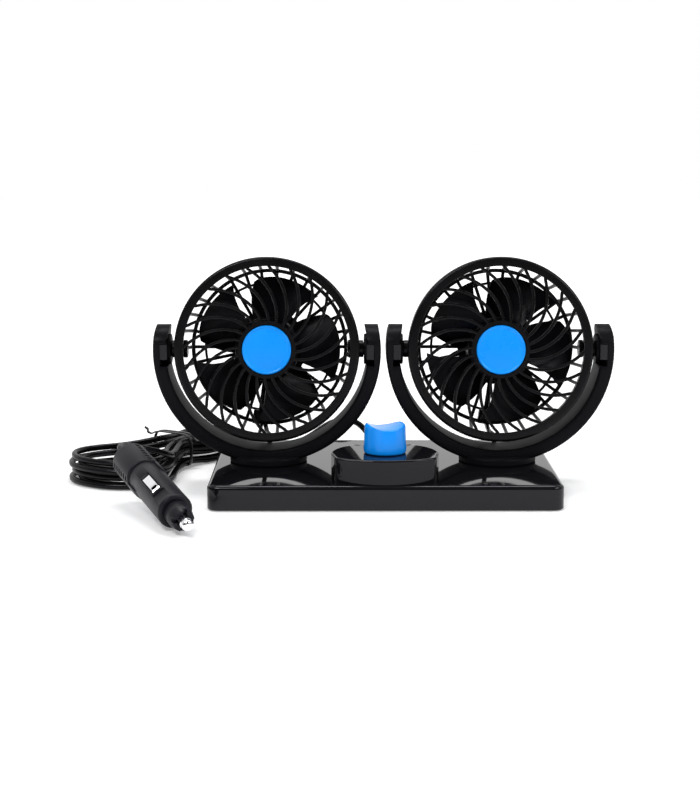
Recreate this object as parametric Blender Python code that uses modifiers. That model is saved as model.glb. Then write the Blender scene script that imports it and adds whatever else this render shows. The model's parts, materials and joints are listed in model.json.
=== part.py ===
"""Dual head car fan: two caged fans in swivelling yokes on one low base, with a knob and a plug lead.

Run with: blender --background --python part.py
Units are metres and +Z is up. The origin is the centre of the base's footprint, on the surface it
stands on. The fans blow towards -Y, and +X is to the right of somebody looking at the front.
"""

import math

import bmesh
import bpy
import numpy as np
from mathutils import Matrix, Vector

# Gaps and settings that every piece shares
GAP = 0.0003
OVERRUN = 0.002
WELD = 0.00001
ROUND_SIDES = 20
SMALL_SIDES = 10
SCREW_SIDES = 6
SHARP_ANGLE = math.radians(35)
FLAT_ANGLE = math.radians(0.2)

# Base
BASE_DEPTH = 0.145
BASE_CORNER = 0.0075
BASE_HEIGHT = 0.0152
BASE_TOP_ROUND = 0.0025
COVER_WALL = 0.0025
FLOOR_CLEARANCE = 0.001
PLATE_THICKNESS = 0.0022
FOOT_LENGTH = 0.150
FOOT_WIDTH = 0.012
FOOT_RECESS = 0.0008
FOOT_INSET = 0.0145
BASE_SCREW_INSET = 0.013
BASE_SCREW_DIAMETER = 0.0028
BASE_SCREW_HEAD = 0.0054
BASE_SCREW_HEAD_HEIGHT = 0.0012
BASE_SCREW_LENGTH = 0.0085
SCREW_CLEARANCE = 0.0004
HEAD_EDGE_SHARE = 0.6
HEAD_FLAT_SHARE = 0.6
BOSS_DIAMETER = 0.0075

# Control pod, moulded on the front of the cover
POD_FRONT_DISTANCE = 0.0265
POD_CENTRE_Y = POD_FRONT_DISTANCE - BASE_DEPTH / 2
POD_RADIUS = 0.0324
POD_HEIGHT = 0.0148
POD_SIDE_LENGTH = 0.012
POD_FRONT_BULGE = 0.008
POD_FRONT_NARROWING = 0.0019
POD_CORNER = 0.004
POD_TOP_ROUND = 0.001

# Rotary switch and knob
KNOB_SET_BACK = 0.001
KNOB_Y = POD_CENTRE_Y + KNOB_SET_BACK
KNOB_FOOT_DIAMETER = 0.026
KNOB_TOP_DIAMETER = 0.025
KNOB_HEIGHT = 0.0205
KNOB_TOP_ROUND = 0.0022
KNOB_SCOOP_RADIUS = 0.0175
KNOB_SCOOP_DEPTH = 0.003
KNOB_FLAT_WIDTH = 0.0156
KNOB_SOCKET_DIAMETER = 0.0155
KNOB_SOCKET_DEPTH = 0.0036
SWITCH_SHAFT_DIAMETER = 0.006
SWITCH_SHAFT_IN_KNOB = 0.009
SWITCH_DIAMETER = 0.0165
SWITCH_HEIGHT = 0.0095
SWITCH_NECK_DIAMETER = 0.0092
SWITCH_NUT_ACROSS = 0.0125
SWITCH_NUT_HEIGHT = 0.0022
SWITCH_BORE_DEPTH = 0.006

# Speed resistor on the base plate
RESISTOR_LENGTH = 0.022
RESISTOR_WIDTH = 0.0075
RESISTOR_HEIGHT = 0.0065
RESISTOR_X = 0.031

# Cord gland in the rear wall
CORD_DIAMETER = 0.004
CORD_POINT_SPACING = 0.010
GLAND_X = -0.006
GLAND_DIAMETER = 0.0075
GLAND_FLANGE_DIAMETER = 0.0102
GLAND_FLANGE = 0.0014
GLAND_TAIL = 0.020
GLAND_TIP_DIAMETER = 0.0056
GLAND_INSIDE = 0.004

# Heads and their yokes
HEAD_Y = 0.0044
REST_TILT = math.radians(5)
GRILLE_RADIUS = 0.0575
HEAD_CLEARANCE = 0.005
YOKE_THICKNESS = 0.0083
YOKE_OUTER_RADIUS = GRILLE_RADIUS + HEAD_CLEARANCE + YOKE_THICKNESS
YOKE_LIFT = 0.0005
PIVOT_HEIGHT = BASE_HEIGHT + YOKE_LIFT + YOKE_OUTER_RADIUS
YOKE_SPACE = 0.0034
HEAD_SPACING = 2 * YOKE_OUTER_RADIUS + YOKE_SPACE
BASE_END_MARGIN = 0.0335
BASE_LENGTH = HEAD_SPACING + 2 * BASE_END_MARGIN
YOKE_DEPTH = 0.029
YOKE_EDGE_ROUND = 0.002
YOKE_ARC_STEPS = 16
EAR_TOP = 0.0145
EAR_PAD_RADIUS = 0.0095
EAR_PAD_SIDES = 16
EAR_PAD_PROUD = 0.0022
EAR_POCKET_WIDTH = 0.005
EAR_POCKET_TOP = 0.0047
EAR_POCKET_BOTTOM = 0.0096
EAR_POCKET_DEPTH = 0.0205
EAR_POCKET_SKIN = 0.0014
EAR_OUTER_SKIN = 0.002
NECK_RADIUS = 0.0243
NECK_SHOULDER = 0.0043
NECK_ROUND = 0.001
NECK_LIFT = 0.0004
SPINDLE_DIAMETER = 0.016
SPINDLE_BORE = 0.008
LEAD_GROOVE_WIDTH = 0.0048
WASHER_DIAMETER = 0.023
WASHER_THICKNESS = 0.0009
SPINDLE_NUT_DIAMETER = 0.025
SPINDLE_NUT_THICKNESS = 0.003

# Front grille: a rim and a hub ring joined by spiral ribs
GRILLE_FACE = 0.016
GRILLE_BACK = 0.006
GRILLE_THICKNESS = 0.0018
GRILLE_RIM_WIDTH = 0.0056
GRILLE_EDGE_ROUND = 0.0015
GRILLE_DOME = 0.001
RIB_COUNT = 24
RIB_WIDTH = 0.0019
RIB_STEPS = 4
RIB_FIRST_ANGLE = math.radians(10.8)
RIB_SWEEP = math.radians(33)
RIB_SWEEP_POWER = 1.2
HUB_RING_RADIUS = 0.018
HUB_RING_WIDTH = 0.0025
HUB_CAP_RADIUS = 0.0151
HUB_CAP_DOME = 0.0012
HUB_CAP_DOME_SHARE = 0.6
HUB_CAP_FLANGE = 0.0013

# Rear cage: straight bars that run back from its rim and in to the motor
CAGE_BAR_COUNT = 30
CAGE_BAR_WIDTH = 0.0021
CAGE_THICKNESS = 0.0018
CAGE_RIM_FRONT = 0.010
CAGE_RIM_WIDTH = 0.0105
CAGE_DEPTH = 0.027
CAGE_TAPER = 0.007
CAGE_CORNER_RADIUS = GRILLE_RADIUS - CAGE_TAPER
CAGE_CORNER_WIDTH = 0.002
CAGE_MOUNT_RADIUS = 0.024
CAGE_MOUNT_BORE = 0.009
CAGE_BOSS_DEPTH = 0.0045
CAGE_STUB_DIAMETER = 0.0108

# Pivot pins
PIN_DIAMETER = 0.008
PIN_HEAD_DIAMETER = 0.0112
PIN_HEAD_THICKNESS = 0.0027

# Motor and fan
MOTOR_RADIUS = 0.0172
MOTOR_LENGTH = 0.0235
MOTOR_EDGE = 0.0015
MOTOR_BOSS_RADIUS = 0.0078
MOTOR_SCREW_CIRCLE = 0.026
MOTOR_SCREW_DIAMETER = 0.0024
MOTOR_SCREW_HEAD = 0.0046
MOTOR_SCREW_HEAD_HEIGHT = 0.0012
MOTOR_SCREW_LENGTH = 0.007
SHAFT_DIAMETER = 0.003
SHAFT_RUNNING_GAP = 0.0004
BLADE_CLEARANCE = 0.0125
ROTOR_RADIUS = GRILLE_RADIUS - BLADE_CLEARANCE
ROTOR_HUB_RADIUS = 0.020
ROTOR_HUB_WALL = 0.0016
ROTOR_HUB_FRONT = 0.0095
ROTOR_HUB_BACK = 0.0125
ROTOR_HUB_ROUND = 0.002
ROTOR_BOSS_RADIUS = 0.0039
BLADE_COUNT = 5
BLADE_THICKNESS = 0.0013
BLADE_CORNER = 0.00325
BLADE_CORNER_POWER = 6
BLADE_RISE_AT_HUB = 0.0165
BLADE_RISE_AT_TIP = 0.0115
BLADE_MID = -0.0015
BLADE_ROOT_START = math.radians(52)
BLADE_ROOT_SPAN = math.radians(66)
BLADE_TIP_START = math.radians(45.6)
BLADE_TIP_SPAN = math.radians(56.4)
BLADE_STEPS_OUT = 3
BLADE_STEPS_ROUND = 4
RIGHT_BLADE_TURN = math.radians(-6.6)

# Motor lead of each head
LEAD_DIAMETER = 0.003
LEAD_POINT_SPACING = 0.009
LOOP_POINT_SPACING = 0.0048
LOOP_BEND_SHARE = 0.28
LOOP_SIDE_SHARES = (0.9, 0.7, 0.35)
LEAD_ANGLE = math.radians(262)
LEAD_BLOCK_LENGTH = 0.009
LEAD_BLOCK_INSET = 0.0005
LEAD_BLOCK_OUTER = CAGE_CORNER_RADIUS - LEAD_BLOCK_INSET
LEAD_BLOCK_INNER = LEAD_BLOCK_OUTER - LEAD_BLOCK_LENGTH
LEAD_BLOCK_WIDTH = 0.0087
LEAD_BLOCK_HEIGHT = 0.007
LEAD_LOOP_LENGTH_BACK = 0.017
GROMMET_DIAMETER = 0.0056
GROMMET_FLANGE_DIAMETER = 0.0076
GROMMET_FLANGE = 0.0008
GROMMET_Y = 0.0192
GROMMET_HEIGHT = 0.0032

# Cord: hank, tie, and the routes of its free stretches
HANK_X = -0.139
HANK_Y = 0.060
HANK_TURN = math.radians(57.3)
HANK_TURNS = 6
HANK_LAYERS = 4
HANK_TURNS_PER_LAYER = HANK_TURNS / HANK_LAYERS
HANK_POINTS_PER_TURN = 20
HANK_END_TURN = 0.05
HANK_LEFT_LENGTH = 0.083
HANK_RIGHT_LENGTH = 0.057
HANK_LEFT_WIDTH = 0.050
HANK_RIGHT_WIDTH = 0.023
HANK_WAIST = 0.0115
HANK_STEP = 0.0057
HANK_LAYER_STEP = 0.0047
HANK_SPREAD_SHARE = 0.85
HANK_BLUNT_SHARE = 0.85
HANK_LIFT_SHARE = 0.35
TIE_DIAMETER = 0.0013
TIE_STEP = 0.006
TIE_SQUARE_SHARE = 0.4
TIE_ROOM = 0.0015
TIE_POINTS = 26
TIE_START = math.radians(135)
TIE_WRAP = math.radians(468)
TAIL_ROUTE = [(-0.0085, 0.106, 0.0135), (-0.019, 0.111, 0.0215), (-0.033, 0.105, 0.021),
              (-0.050, 0.096, 0.012), (-0.068, 0.088, 0.005), (-0.084, 0.083, 0.0024),
              (-0.097, 0.080, 0.0024)]
LEAD_ROUTE = [(-0.1345, 0.0096, 0.0174), (-0.1402, -0.0011, 0.0210), (-0.1510, -0.0090, 0.0236),
              (-0.1577, -0.0182, 0.0264)]


# Plug, from its tip back
PLUG_TIP = (-0.110, -0.138, 0.0072)
PLUG_REAR = (-0.154, -0.045, 0.0257)
PLUG_WINDOW_FACING = (-0.51, -0.40, 0.76)
PLUG_TIP_OUT = 0.008
PLUG_TIP_DIAMETER = 0.007
PLUG_TIP_FLANGE = 0.0018
PLUG_TIP_ROUND_SHARE = 0.6
PLUG_NOSE_LENGTH = 0.0135
PLUG_NOSE_BACK = 0.0146
PLUG_NOSE_FRONT = 0.0125
PLUG_NOSE_NOTCH = 0.002
PLUG_NOSE_TAPER_START = 0.0081
PLUG_BODY_DIAMETER = 0.0205
PLUG_BODY_LENGTH = 0.053
PLUG_RIM_ROUND = 0.0015
PLUG_BORE_DIAMETER = 0.0086
PLUG_BORE_DEPTH = 0.046
PLUG_WINDOW_LENGTH = 0.023
PLUG_WINDOW_WIDTH = 0.006
PLUG_WINDOW_FRONT = 0.0155
PLUG_WINDOW_FLOOR = 0.0062
PLUG_CONTACT_GAP = 0.0006
PLUG_CONTACT_DEPTH = 0.0028
PLUG_CONTACT_THICKNESS = 0.0006
PLUG_CONTACT_PROUD = 0.0008
PLUG_CONTACT_STEPS = 8
PLUG_GRIP_DIAMETER = 0.0225
PLUG_GRIP_LENGTH = 0.030
PLUG_NOTCH_COUNT = 5
PLUG_NOTCH_DEPTH = 0.0013
PLUG_NOTCH_WIDTH = 0.0075
PLUG_RELIEF_DIAMETER = 0.0088
PLUG_RELIEF_TIP = 0.0056
PLUG_RELIEF_LENGTH = 0.020
PLUG_RELIEF_OUTSIDE = 0.012
PLUG_FUSE_DIAMETER = 0.006
PLUG_FUSE_LENGTH = 0.030
PLUG_SPRING_WIRE = 0.0008
PLUG_SPRING_COILS = 4
PLUG_SPRING_SIDES = 7

# Colours
SATIN_BLACK = (0.010, 0.010, 0.012)
GLOSS_BLACK = (0.013, 0.012, 0.013)
BLADE_BLACK = (0.004, 0.004, 0.006)
RUBBER_BLACK = (0.012, 0.012, 0.013)
PLUG_BLACK = (0.026, 0.026, 0.034)
KNOB_BLUE = (0.013, 0.27, 0.85)
CAP_BLUE = (0.008, 0.33, 0.88)
STEEL = (0.55, 0.55, 0.56)
CERAMIC = (0.72, 0.70, 0.66)


def remove_scene_objects():
    for obj in list(bpy.data.objects):
        bpy.data.objects.remove(obj)


def new_collection(name):
    result = bpy.data.collections.new(name)
    bpy.context.scene.collection.children.link(result)
    return result


def new_finish(name, colour, roughness, metallic=0.0):
    finish = bpy.data.materials.new(name)
    finish.use_nodes = True
    shader = finish.node_tree.nodes["Principled BSDF"]
    shader.inputs["Base Color"].default_value = (*colour, 1.0)
    shader.inputs["Roughness"].default_value = roughness
    shader.inputs["Metallic"].default_value = metallic
    finish.diffuse_color = (*colour, 1.0)
    return finish


def add_object(name, data, colour=None, roughness=0.5, metallic=0.0, parent=None):
    """Link an object as a piece where a colour is given, and as a guide where none is."""
    obj = bpy.data.objects.new(name, data)
    if colour is None:
        GUIDES.objects.link(obj)
        obj.hide_render = True
        obj.display_type = "WIRE"
    else:
        PIECES.objects.link(obj)
        data.materials.append(new_finish(name, colour, roughness, metallic))
    obj.parent = parent
    return obj


def add_empty(name, location, parent=None, tilt=0.0):
    empty = bpy.data.objects.new(name, None)
    GUIDES.objects.link(empty)
    empty.parent = parent
    empty.location = location
    empty.rotation_euler = (tilt, 0.0, 0.0)
    return empty


def mesh_of(obj, flat_faces_whole=False):
    """The evaluated mesh of an object, in its own coordinates, with its seams welded."""
    depsgraph = bpy.context.evaluated_depsgraph_get()
    depsgraph.update()
    mesh = bpy.data.meshes.new_from_object(obj.evaluated_get(depsgraph))
    bm = bmesh.new()
    bm.from_mesh(mesh)
    bmesh.ops.remove_doubles(bm, verts=bm.verts, dist=WELD)
    bmesh.ops.recalc_face_normals(bm, faces=bm.faces)
    if flat_faces_whole:
        bmesh.ops.dissolve_limit(bm, angle_limit=FLAT_ANGLE, use_dissolve_boundaries=False,
                                 verts=bm.verts, edges=bm.edges, delimit=set())
    bm.to_mesh(mesh)
    bm.free()
    return mesh


def smooth(obj):
    obj.data.shade_smooth()
    obj.data.set_sharp_from_angle(angle=SHARP_ANGLE)
    return obj


def moved(mesh, matrix):
    mesh.transform(matrix)
    return mesh


def prism(name, outline, low, high, turn=None, parent=None, **finish):
    """A flat outline made solid between two heights, then turned."""
    curve = bpy.data.curves.new(name, "CURVE")
    curve.dimensions = "2D"
    curve.fill_mode = "BOTH"
    curve.extrude = (high - low) / 2
    spline = curve.splines.new("POLY")
    spline.points.add(len(outline) - 1)
    for point, (x, y) in zip(spline.points, outline):
        point.co = (x, y, 0.0, 1.0)
    spline.use_cyclic_u = True
    sketch = bpy.data.objects.new(name, curve)
    GUIDES.objects.link(sketch)
    mesh = mesh_of(sketch, flat_faces_whole=True)
    bpy.data.objects.remove(sketch)
    bpy.data.curves.remove(curve)
    moved(mesh, Matrix.Translation((0.0, 0.0, (high + low) / 2)))
    if turn is not None:
        moved(mesh, turn)
    return add_object(name, mesh, parent=parent, **finish)


def round_edges(obj, chosen, width, steps):
    """Round the edges whose two ends both pass the test."""
    bm = bmesh.new()
    bm.from_mesh(obj.data)
    edges = [edge for edge in bm.edges if all(chosen(vert.co) for vert in edge.verts)]
    bmesh.ops.bevel(bm, geom=edges, offset=width, segments=steps, profile=0.5, affect="EDGES",
                    clamp_overlap=True)
    bm.to_mesh(obj.data)
    bm.free()
    return obj


def box(name, size, centre, turn=None, parent=None, **finish):
    bm = bmesh.new()
    bmesh.ops.create_cube(bm, size=1.0)
    bmesh.ops.scale(bm, vec=size, verts=bm.verts)
    bmesh.ops.translate(bm, vec=centre, verts=bm.verts)
    mesh = bpy.data.meshes.new(name)
    bm.to_mesh(mesh)
    bm.free()
    if turn is not None:
        moved(mesh, turn)
    return add_object(name, mesh, parent=parent, **finish)


def cylinder(name, radius, low, high, centre=(0.0, 0.0), sides=ROUND_SIDES, turn=None, top_radius=None,
             parent=None, **finish):
    """A cylinder or cone along Z between two heights, then turned."""
    bm = bmesh.new()
    upper = radius if top_radius is None else top_radius
    bmesh.ops.create_cone(bm, cap_ends=True, segments=sides, radius1=radius, radius2=upper,
                          depth=high - low)
    bmesh.ops.translate(bm, vec=(centre[0], centre[1], (low + high) / 2), verts=bm.verts)
    mesh = bpy.data.meshes.new(name)
    bm.to_mesh(mesh)
    bm.free()
    if turn is not None:
        moved(mesh, turn)
    return smooth(add_object(name, mesh, parent=parent, **finish))


def turned(name, profile, sides=ROUND_SIDES, closed=False, turn=None, parent=None, **finish):
    """A profile of (radius, height) points, outer side running down, swept round Z."""
    mesh = bpy.data.meshes.new(name)
    bm = bmesh.new()
    verts = [bm.verts.new((radius, 0.0, height)) for radius, height in profile]
    for first, second in zip(verts, verts[1:]):
        bm.edges.new((first, second))
    if closed:
        bm.edges.new((verts[-1], verts[0]))
    bm.to_mesh(mesh)
    bm.free()
    sketch = bpy.data.objects.new(name, mesh)
    GUIDES.objects.link(sketch)
    screw = sketch.modifiers.new("Turn", "SCREW")
    screw.steps = sides
    screw.render_steps = sides
    screw.use_merge_vertices = True
    screw.merge_threshold = WELD
    solid = mesh_of(sketch)
    bpy.data.objects.remove(sketch)
    bpy.data.meshes.remove(mesh)
    if turn is not None:
        moved(solid, turn)
    return smooth(add_object(name, solid, parent=parent, **finish))


def merged(name, pieces, parent=None, **finish):
    """One object that holds several separate solids of the same kind."""
    bm = bmesh.new()
    for piece in pieces:
        bm.from_mesh(piece.data)
        bpy.data.objects.remove(piece)
    mesh = bpy.data.meshes.new(name)
    bm.to_mesh(mesh)
    bm.free()
    return smooth(add_object(name, mesh, parent=parent, **finish))


def combine(target, tools, operation):
    for tool in tools:
        change = target.modifiers.new(tool.name, "BOOLEAN")
        change.operation = operation
        change.solver = "EXACT"
        change.object = tool
    return target


def cut(target, *tools):
    return combine(target, tools, "DIFFERENCE")


def join(target, *tools):
    return combine(target, tools, "UNION")


def keep_common(target, *tools):
    return combine(target, tools, "INTERSECT")


def arc(centre, radius, start, end, steps):
    """Points along an arc, both ends included."""
    points = []
    for step in range(steps + 1):
        angle = start + (end - start) * step / steps
        points.append((centre[0] + radius * math.cos(angle), centre[1] + radius * math.sin(angle)))
    return points


def rounded_rectangle(length, depth, corner, steps=3):
    points = []
    for turn, (x, y) in enumerate(((1, 1), (-1, 1), (-1, -1), (1, -1))):
        centre = (x * (length / 2 - corner), y * (depth / 2 - corner))
        points += arc(centre, corner, turn * math.pi / 2, (turn + 1) * math.pi / 2, steps)
    return points


ALONG_Y = Matrix.Rotation(-math.pi / 2, 4, "X")
UPRIGHT_OUTLINE = Matrix.Rotation(math.pi / 2, 4, "X")
SIDE_OUTLINE = Matrix(((0, 0, 1, 0), (1, 0, 0, 0), (0, 1, 0, 0), (0, 0, 0, 1)))

# Heights and places that follow from the sizes above
PLATE_TOP = FLOOR_CLEARANCE + PLATE_THICKNESS
COVER_UNDERSIDE = BASE_HEIGHT - COVER_WALL
POD_TOP = BASE_HEIGHT + POD_HEIGHT
POD_UNDERSIDE = POD_TOP - COVER_WALL
KNOB_BOTTOM = POD_TOP + GAP
GLAND_Z = (PLATE_TOP + COVER_UNDERSIDE) / 2
REAR_WALL_Y = BASE_DEPTH / 2
SPINDLE_BOTTOM = COVER_UNDERSIDE - 2 * GAP - WASHER_THICKNESS - SPINDLE_NUT_THICKNESS
NECK_BOTTOM = BASE_HEIGHT + NECK_LIFT
NECK_TOP = NECK_BOTTOM + NECK_SHOULDER
GROMMET_TOP = NECK_TOP + GAP + GROMMET_FLANGE
EAR_FACE = YOKE_OUTER_RADIUS - YOKE_THICKNESS - EAR_PAD_PROUD
PIN_END = YOKE_OUTER_RADIUS - EAR_OUTER_SKIN - GAP
GRILLE_BAND_RADIUS = GRILLE_RADIUS - GRILLE_RIM_WIDTH
CAGE_RADIUS = (GRILLE_RADIUS - GRILLE_THICKNESS) * math.cos(math.pi / 2 / RIB_COUNT) - GAP
CAGE_BOSS_INNER = CAGE_RADIUS - CAGE_BOSS_DEPTH
CAGE_FLOOR_FRONT = CAGE_THICKNESS - CAGE_DEPTH
MOTOR_BACK = CAGE_FLOOR_FRONT + GAP
MOTOR_FRONT = MOTOR_BACK + MOTOR_LENGTH
LEAD_HEIGHT = MOTOR_BACK + LEAD_DIAMETER / 2


def corner_places(inset_x, inset_y):
    x = BASE_LENGTH / 2 - inset_x
    y = BASE_DEPTH / 2 - inset_y
    return [(x, y), (-x, y), (-x, -y), (x, -y)]


def pod_outline(inset):
    """The pod seen from above: a half circle at the back, straight sides and a bowed front."""
    radius = POD_RADIUS - inset
    half_front = POD_RADIUS - POD_FRONT_NARROWING
    front_radius = (half_front ** 2 + POD_FRONT_BULGE ** 2) / (2 * POD_FRONT_BULGE)
    front_y = POD_CENTRE_Y - POD_SIDE_LENGTH - POD_CORNER - POD_FRONT_BULGE
    bow_centre = (0.0, front_y + front_radius)
    corner_x = half_front - POD_CORNER
    corner_y = bow_centre[1] - math.sqrt((front_radius - POD_CORNER) ** 2 - corner_x ** 2)
    lean = math.atan2(corner_x, bow_centre[1] - corner_y)
    quarter = math.pi / 2
    points = arc((0.0, POD_CENTRE_Y), radius, 0.0, math.pi, 14)
    points += arc((-corner_x, corner_y), POD_CORNER - inset, math.pi, 3 * quarter - lean, 3)
    points += arc(bow_centre, front_radius - inset, 3 * quarter - lean, 3 * quarter + lean, 6)[1:-1]
    points += arc((corner_x, corner_y), POD_CORNER - inset, 3 * quarter + lean, 4 * quarter, 3)
    return points


def screw_profile(shank, head, head_height, length):
    """A pan-head screw that points up, with its head's underside at height zero."""
    return [(0.0, length), (shank / 2, length - shank / 4), (shank / 2, 0.0), (head / 2, 0.0),
            (head / 2, -head_height * HEAD_EDGE_SHARE),
            (head / 2 * HEAD_FLAT_SHARE, -head_height), (0.0, -head_height)]


def base_cover():
    top = BASE_HEIGHT
    cover = prism("base_cover", rounded_rectangle(BASE_LENGTH, BASE_DEPTH, BASE_CORNER),
                  FLOOR_CLEARANCE, top, colour=GLOSS_BLACK, roughness=0.12)
    round_edges(cover, lambda co: co.z > top - WELD, BASE_TOP_ROUND, 2)
    pod = prism("pod_shape", pod_outline(0.0), top - COVER_WALL / 2, POD_TOP)
    round_edges(pod, lambda co: co.z > POD_TOP - WELD, POD_TOP_ROUND, 1)
    join(cover, pod)
    wall = 2 * COVER_WALL
    cut(cover,
        prism("base_cavity",
              rounded_rectangle(BASE_LENGTH - wall, BASE_DEPTH - wall, BASE_CORNER - COVER_WALL),
              FLOOR_CLEARANCE - OVERRUN, COVER_UNDERSIDE),
        prism("pod_cavity", pod_outline(COVER_WALL), COVER_UNDERSIDE - OVERRUN, POD_UNDERSIDE))
    for number, place in enumerate(corner_places(BASE_SCREW_INSET, BASE_SCREW_INSET)):
        join(cover, cylinder(f"screw_boss_{number}", BOSS_DIAMETER / 2, PLATE_TOP + GAP,
                             BASE_HEIGHT - COVER_WALL / 2, place, SMALL_SIDES))
        hole_top = FLOOR_CLEARANCE + BASE_SCREW_HEAD_HEIGHT + BASE_SCREW_LENGTH + GAP
        cut(cover, cylinder(f"boss_bore_{number}", BASE_SCREW_DIAMETER / 2 + SCREW_CLEARANCE,
                            PLATE_TOP - OVERRUN, hole_top, place, SCREW_SIDES))
    for side in (-1, 1):
        cut(cover, cylinder("spindle_hole", SPINDLE_DIAMETER / 2 + SCREW_CLEARANCE,
                            COVER_UNDERSIDE - OVERRUN, BASE_HEIGHT + OVERRUN,
                            (side * HEAD_SPACING / 2, HEAD_Y)))
    cut(cover, cylinder("switch_hole", SWITCH_NECK_DIAMETER / 2 + GAP, POD_UNDERSIDE - OVERRUN,
                        POD_TOP + OVERRUN, (0.0, KNOB_Y), SMALL_SIDES))
    gland_hole = cylinder("gland_hole", GLAND_DIAMETER / 2 + GAP, -COVER_WALL - OVERRUN, OVERRUN,
                          sides=SMALL_SIDES, turn=ALONG_Y)
    gland_hole.location = (GLAND_X, REAR_WALL_Y, GLAND_Z)
    cut(cover, gland_hole)
    return smooth(cover)


def base_plate():
    fit = 2 * (COVER_WALL + GAP)
    plate = prism("base_plate",
                  rounded_rectangle(BASE_LENGTH - fit, BASE_DEPTH - fit, BASE_CORNER - fit / 2),
                  FLOOR_CLEARANCE, PLATE_TOP, colour=SATIN_BLACK, roughness=0.6)
    for place in corner_places(BASE_SCREW_INSET, BASE_SCREW_INSET):
        cut(plate,
            cylinder("plate_bore", BASE_SCREW_DIAMETER / 2 + SCREW_CLEARANCE,
                     FLOOR_CLEARANCE - OVERRUN, PLATE_TOP + OVERRUN, place, SCREW_SIDES),
            cylinder("plate_counterbore", BASE_SCREW_HEAD / 2 + SCREW_CLEARANCE,
                     FLOOR_CLEARANCE - OVERRUN, FLOOR_CLEARANCE + BASE_SCREW_HEAD_HEIGHT + GAP,
                     place, SMALL_SIDES))
    for side in (-1, 1):
        cut(plate, prism("foot_recess", foot_outline(side, GAP), FLOOR_CLEARANCE - OVERRUN,
                         FLOOR_CLEARANCE + FOOT_RECESS))
    return plate


def base_screws():
    profile = screw_profile(BASE_SCREW_DIAMETER, BASE_SCREW_HEAD, BASE_SCREW_HEAD_HEIGHT,
                            BASE_SCREW_LENGTH)
    head_top = FLOOR_CLEARANCE + BASE_SCREW_HEAD_HEIGHT
    for number, (x, y) in enumerate(corner_places(BASE_SCREW_INSET, BASE_SCREW_INSET), 1):
        turned(f"base_screw_{number}", profile, SCREW_SIDES,
               turn=Matrix.Translation((x, y, head_top)), colour=STEEL, roughness=0.35,
               metallic=1.0)


def foot_outline(side, grown):
    """A strip with round ends along the front or rear of the plate."""
    width = FOOT_WIDTH + 2 * grown
    middle = side * (BASE_DEPTH / 2 - FOOT_INSET)
    return [(x, y + middle) for x, y in
            rounded_rectangle(FOOT_LENGTH + 2 * grown, width, width / 2 - WELD)]


def rubber_feet():
    for name, side in (("front_rubber_foot", -1), ("rear_rubber_foot", 1)):
        prism(name, foot_outline(side, 0.0), 0.0, FLOOR_CLEARANCE + FOOT_RECESS - GAP,
              colour=RUBBER_BLACK, roughness=0.85)


def rotary_switch():
    """The switch body hangs under the pod's top, and its neck comes up through it."""
    body_top = POD_UNDERSIDE - GAP
    neck_top = POD_TOP + 2 * GAP + SWITCH_NUT_HEIGHT
    bore = SWITCH_SHAFT_DIAMETER / 2 + GAP
    bore_floor = body_top - SWITCH_BORE_DEPTH
    profile = [(SWITCH_NECK_DIAMETER / 2, neck_top), (SWITCH_NECK_DIAMETER / 2, body_top),
               (SWITCH_DIAMETER / 2, body_top), (SWITCH_DIAMETER / 2, body_top - SWITCH_HEIGHT),
               (0.0, body_top - SWITCH_HEIGHT)]
    profile = [(0.0, bore_floor), (bore, bore_floor), (bore, neck_top)] + profile
    return turned("rotary_switch", profile, 20,
                  turn=Matrix.Translation((0.0, KNOB_Y, 0.0)), colour=STEEL, roughness=0.4,
                  metallic=0.8)


def switch_nut():
    corner = SWITCH_NUT_ACROSS / 2 / math.cos(math.pi / 6)
    low = POD_TOP + GAP
    high = low + SWITCH_NUT_HEIGHT
    nut = cylinder("switch_nut", corner, low, high, (0.0, KNOB_Y), 6, colour=STEEL, roughness=0.3,
                   metallic=1.0)
    cut(nut, cylinder("nut_bore", SWITCH_NECK_DIAMETER / 2 + GAP, low - OVERRUN, high + OVERRUN,
                      (0.0, KNOB_Y), SMALL_SIDES))
    return nut


def speed_resistor():
    low = PLATE_TOP + GAP
    return box("speed_resistor", (RESISTOR_LENGTH, RESISTOR_WIDTH, RESISTOR_HEIGHT),
               (RESISTOR_X, POD_CENTRE_Y, low + RESISTOR_HEIGHT / 2), colour=CERAMIC, roughness=0.8)


def cord_gland():
    """A moulded bushing in the rear wall, with a tapered tail where the cord bends."""
    body = GLAND_DIAMETER / 2
    flange_back = GAP
    flange_front = flange_back + GLAND_FLANGE
    profile = [(0.0, flange_front + GLAND_TAIL), (GLAND_TIP_DIAMETER / 2, flange_front + GLAND_TAIL),
               (body, flange_front), (GLAND_FLANGE_DIAMETER / 2, flange_front),
               (GLAND_FLANGE_DIAMETER / 2, flange_back), (body, flange_back),
               (body, -COVER_WALL - GLAND_INSIDE), (0.0, -COVER_WALL - GLAND_INSIDE)]
    gland = turned("cord_gland", profile, SMALL_SIDES, turn=ALONG_Y, colour=RUBBER_BLACK,
                   roughness=0.7)
    gland.location = (GLAND_X, REAR_WALL_Y, GLAND_Z)
    return gland


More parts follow.
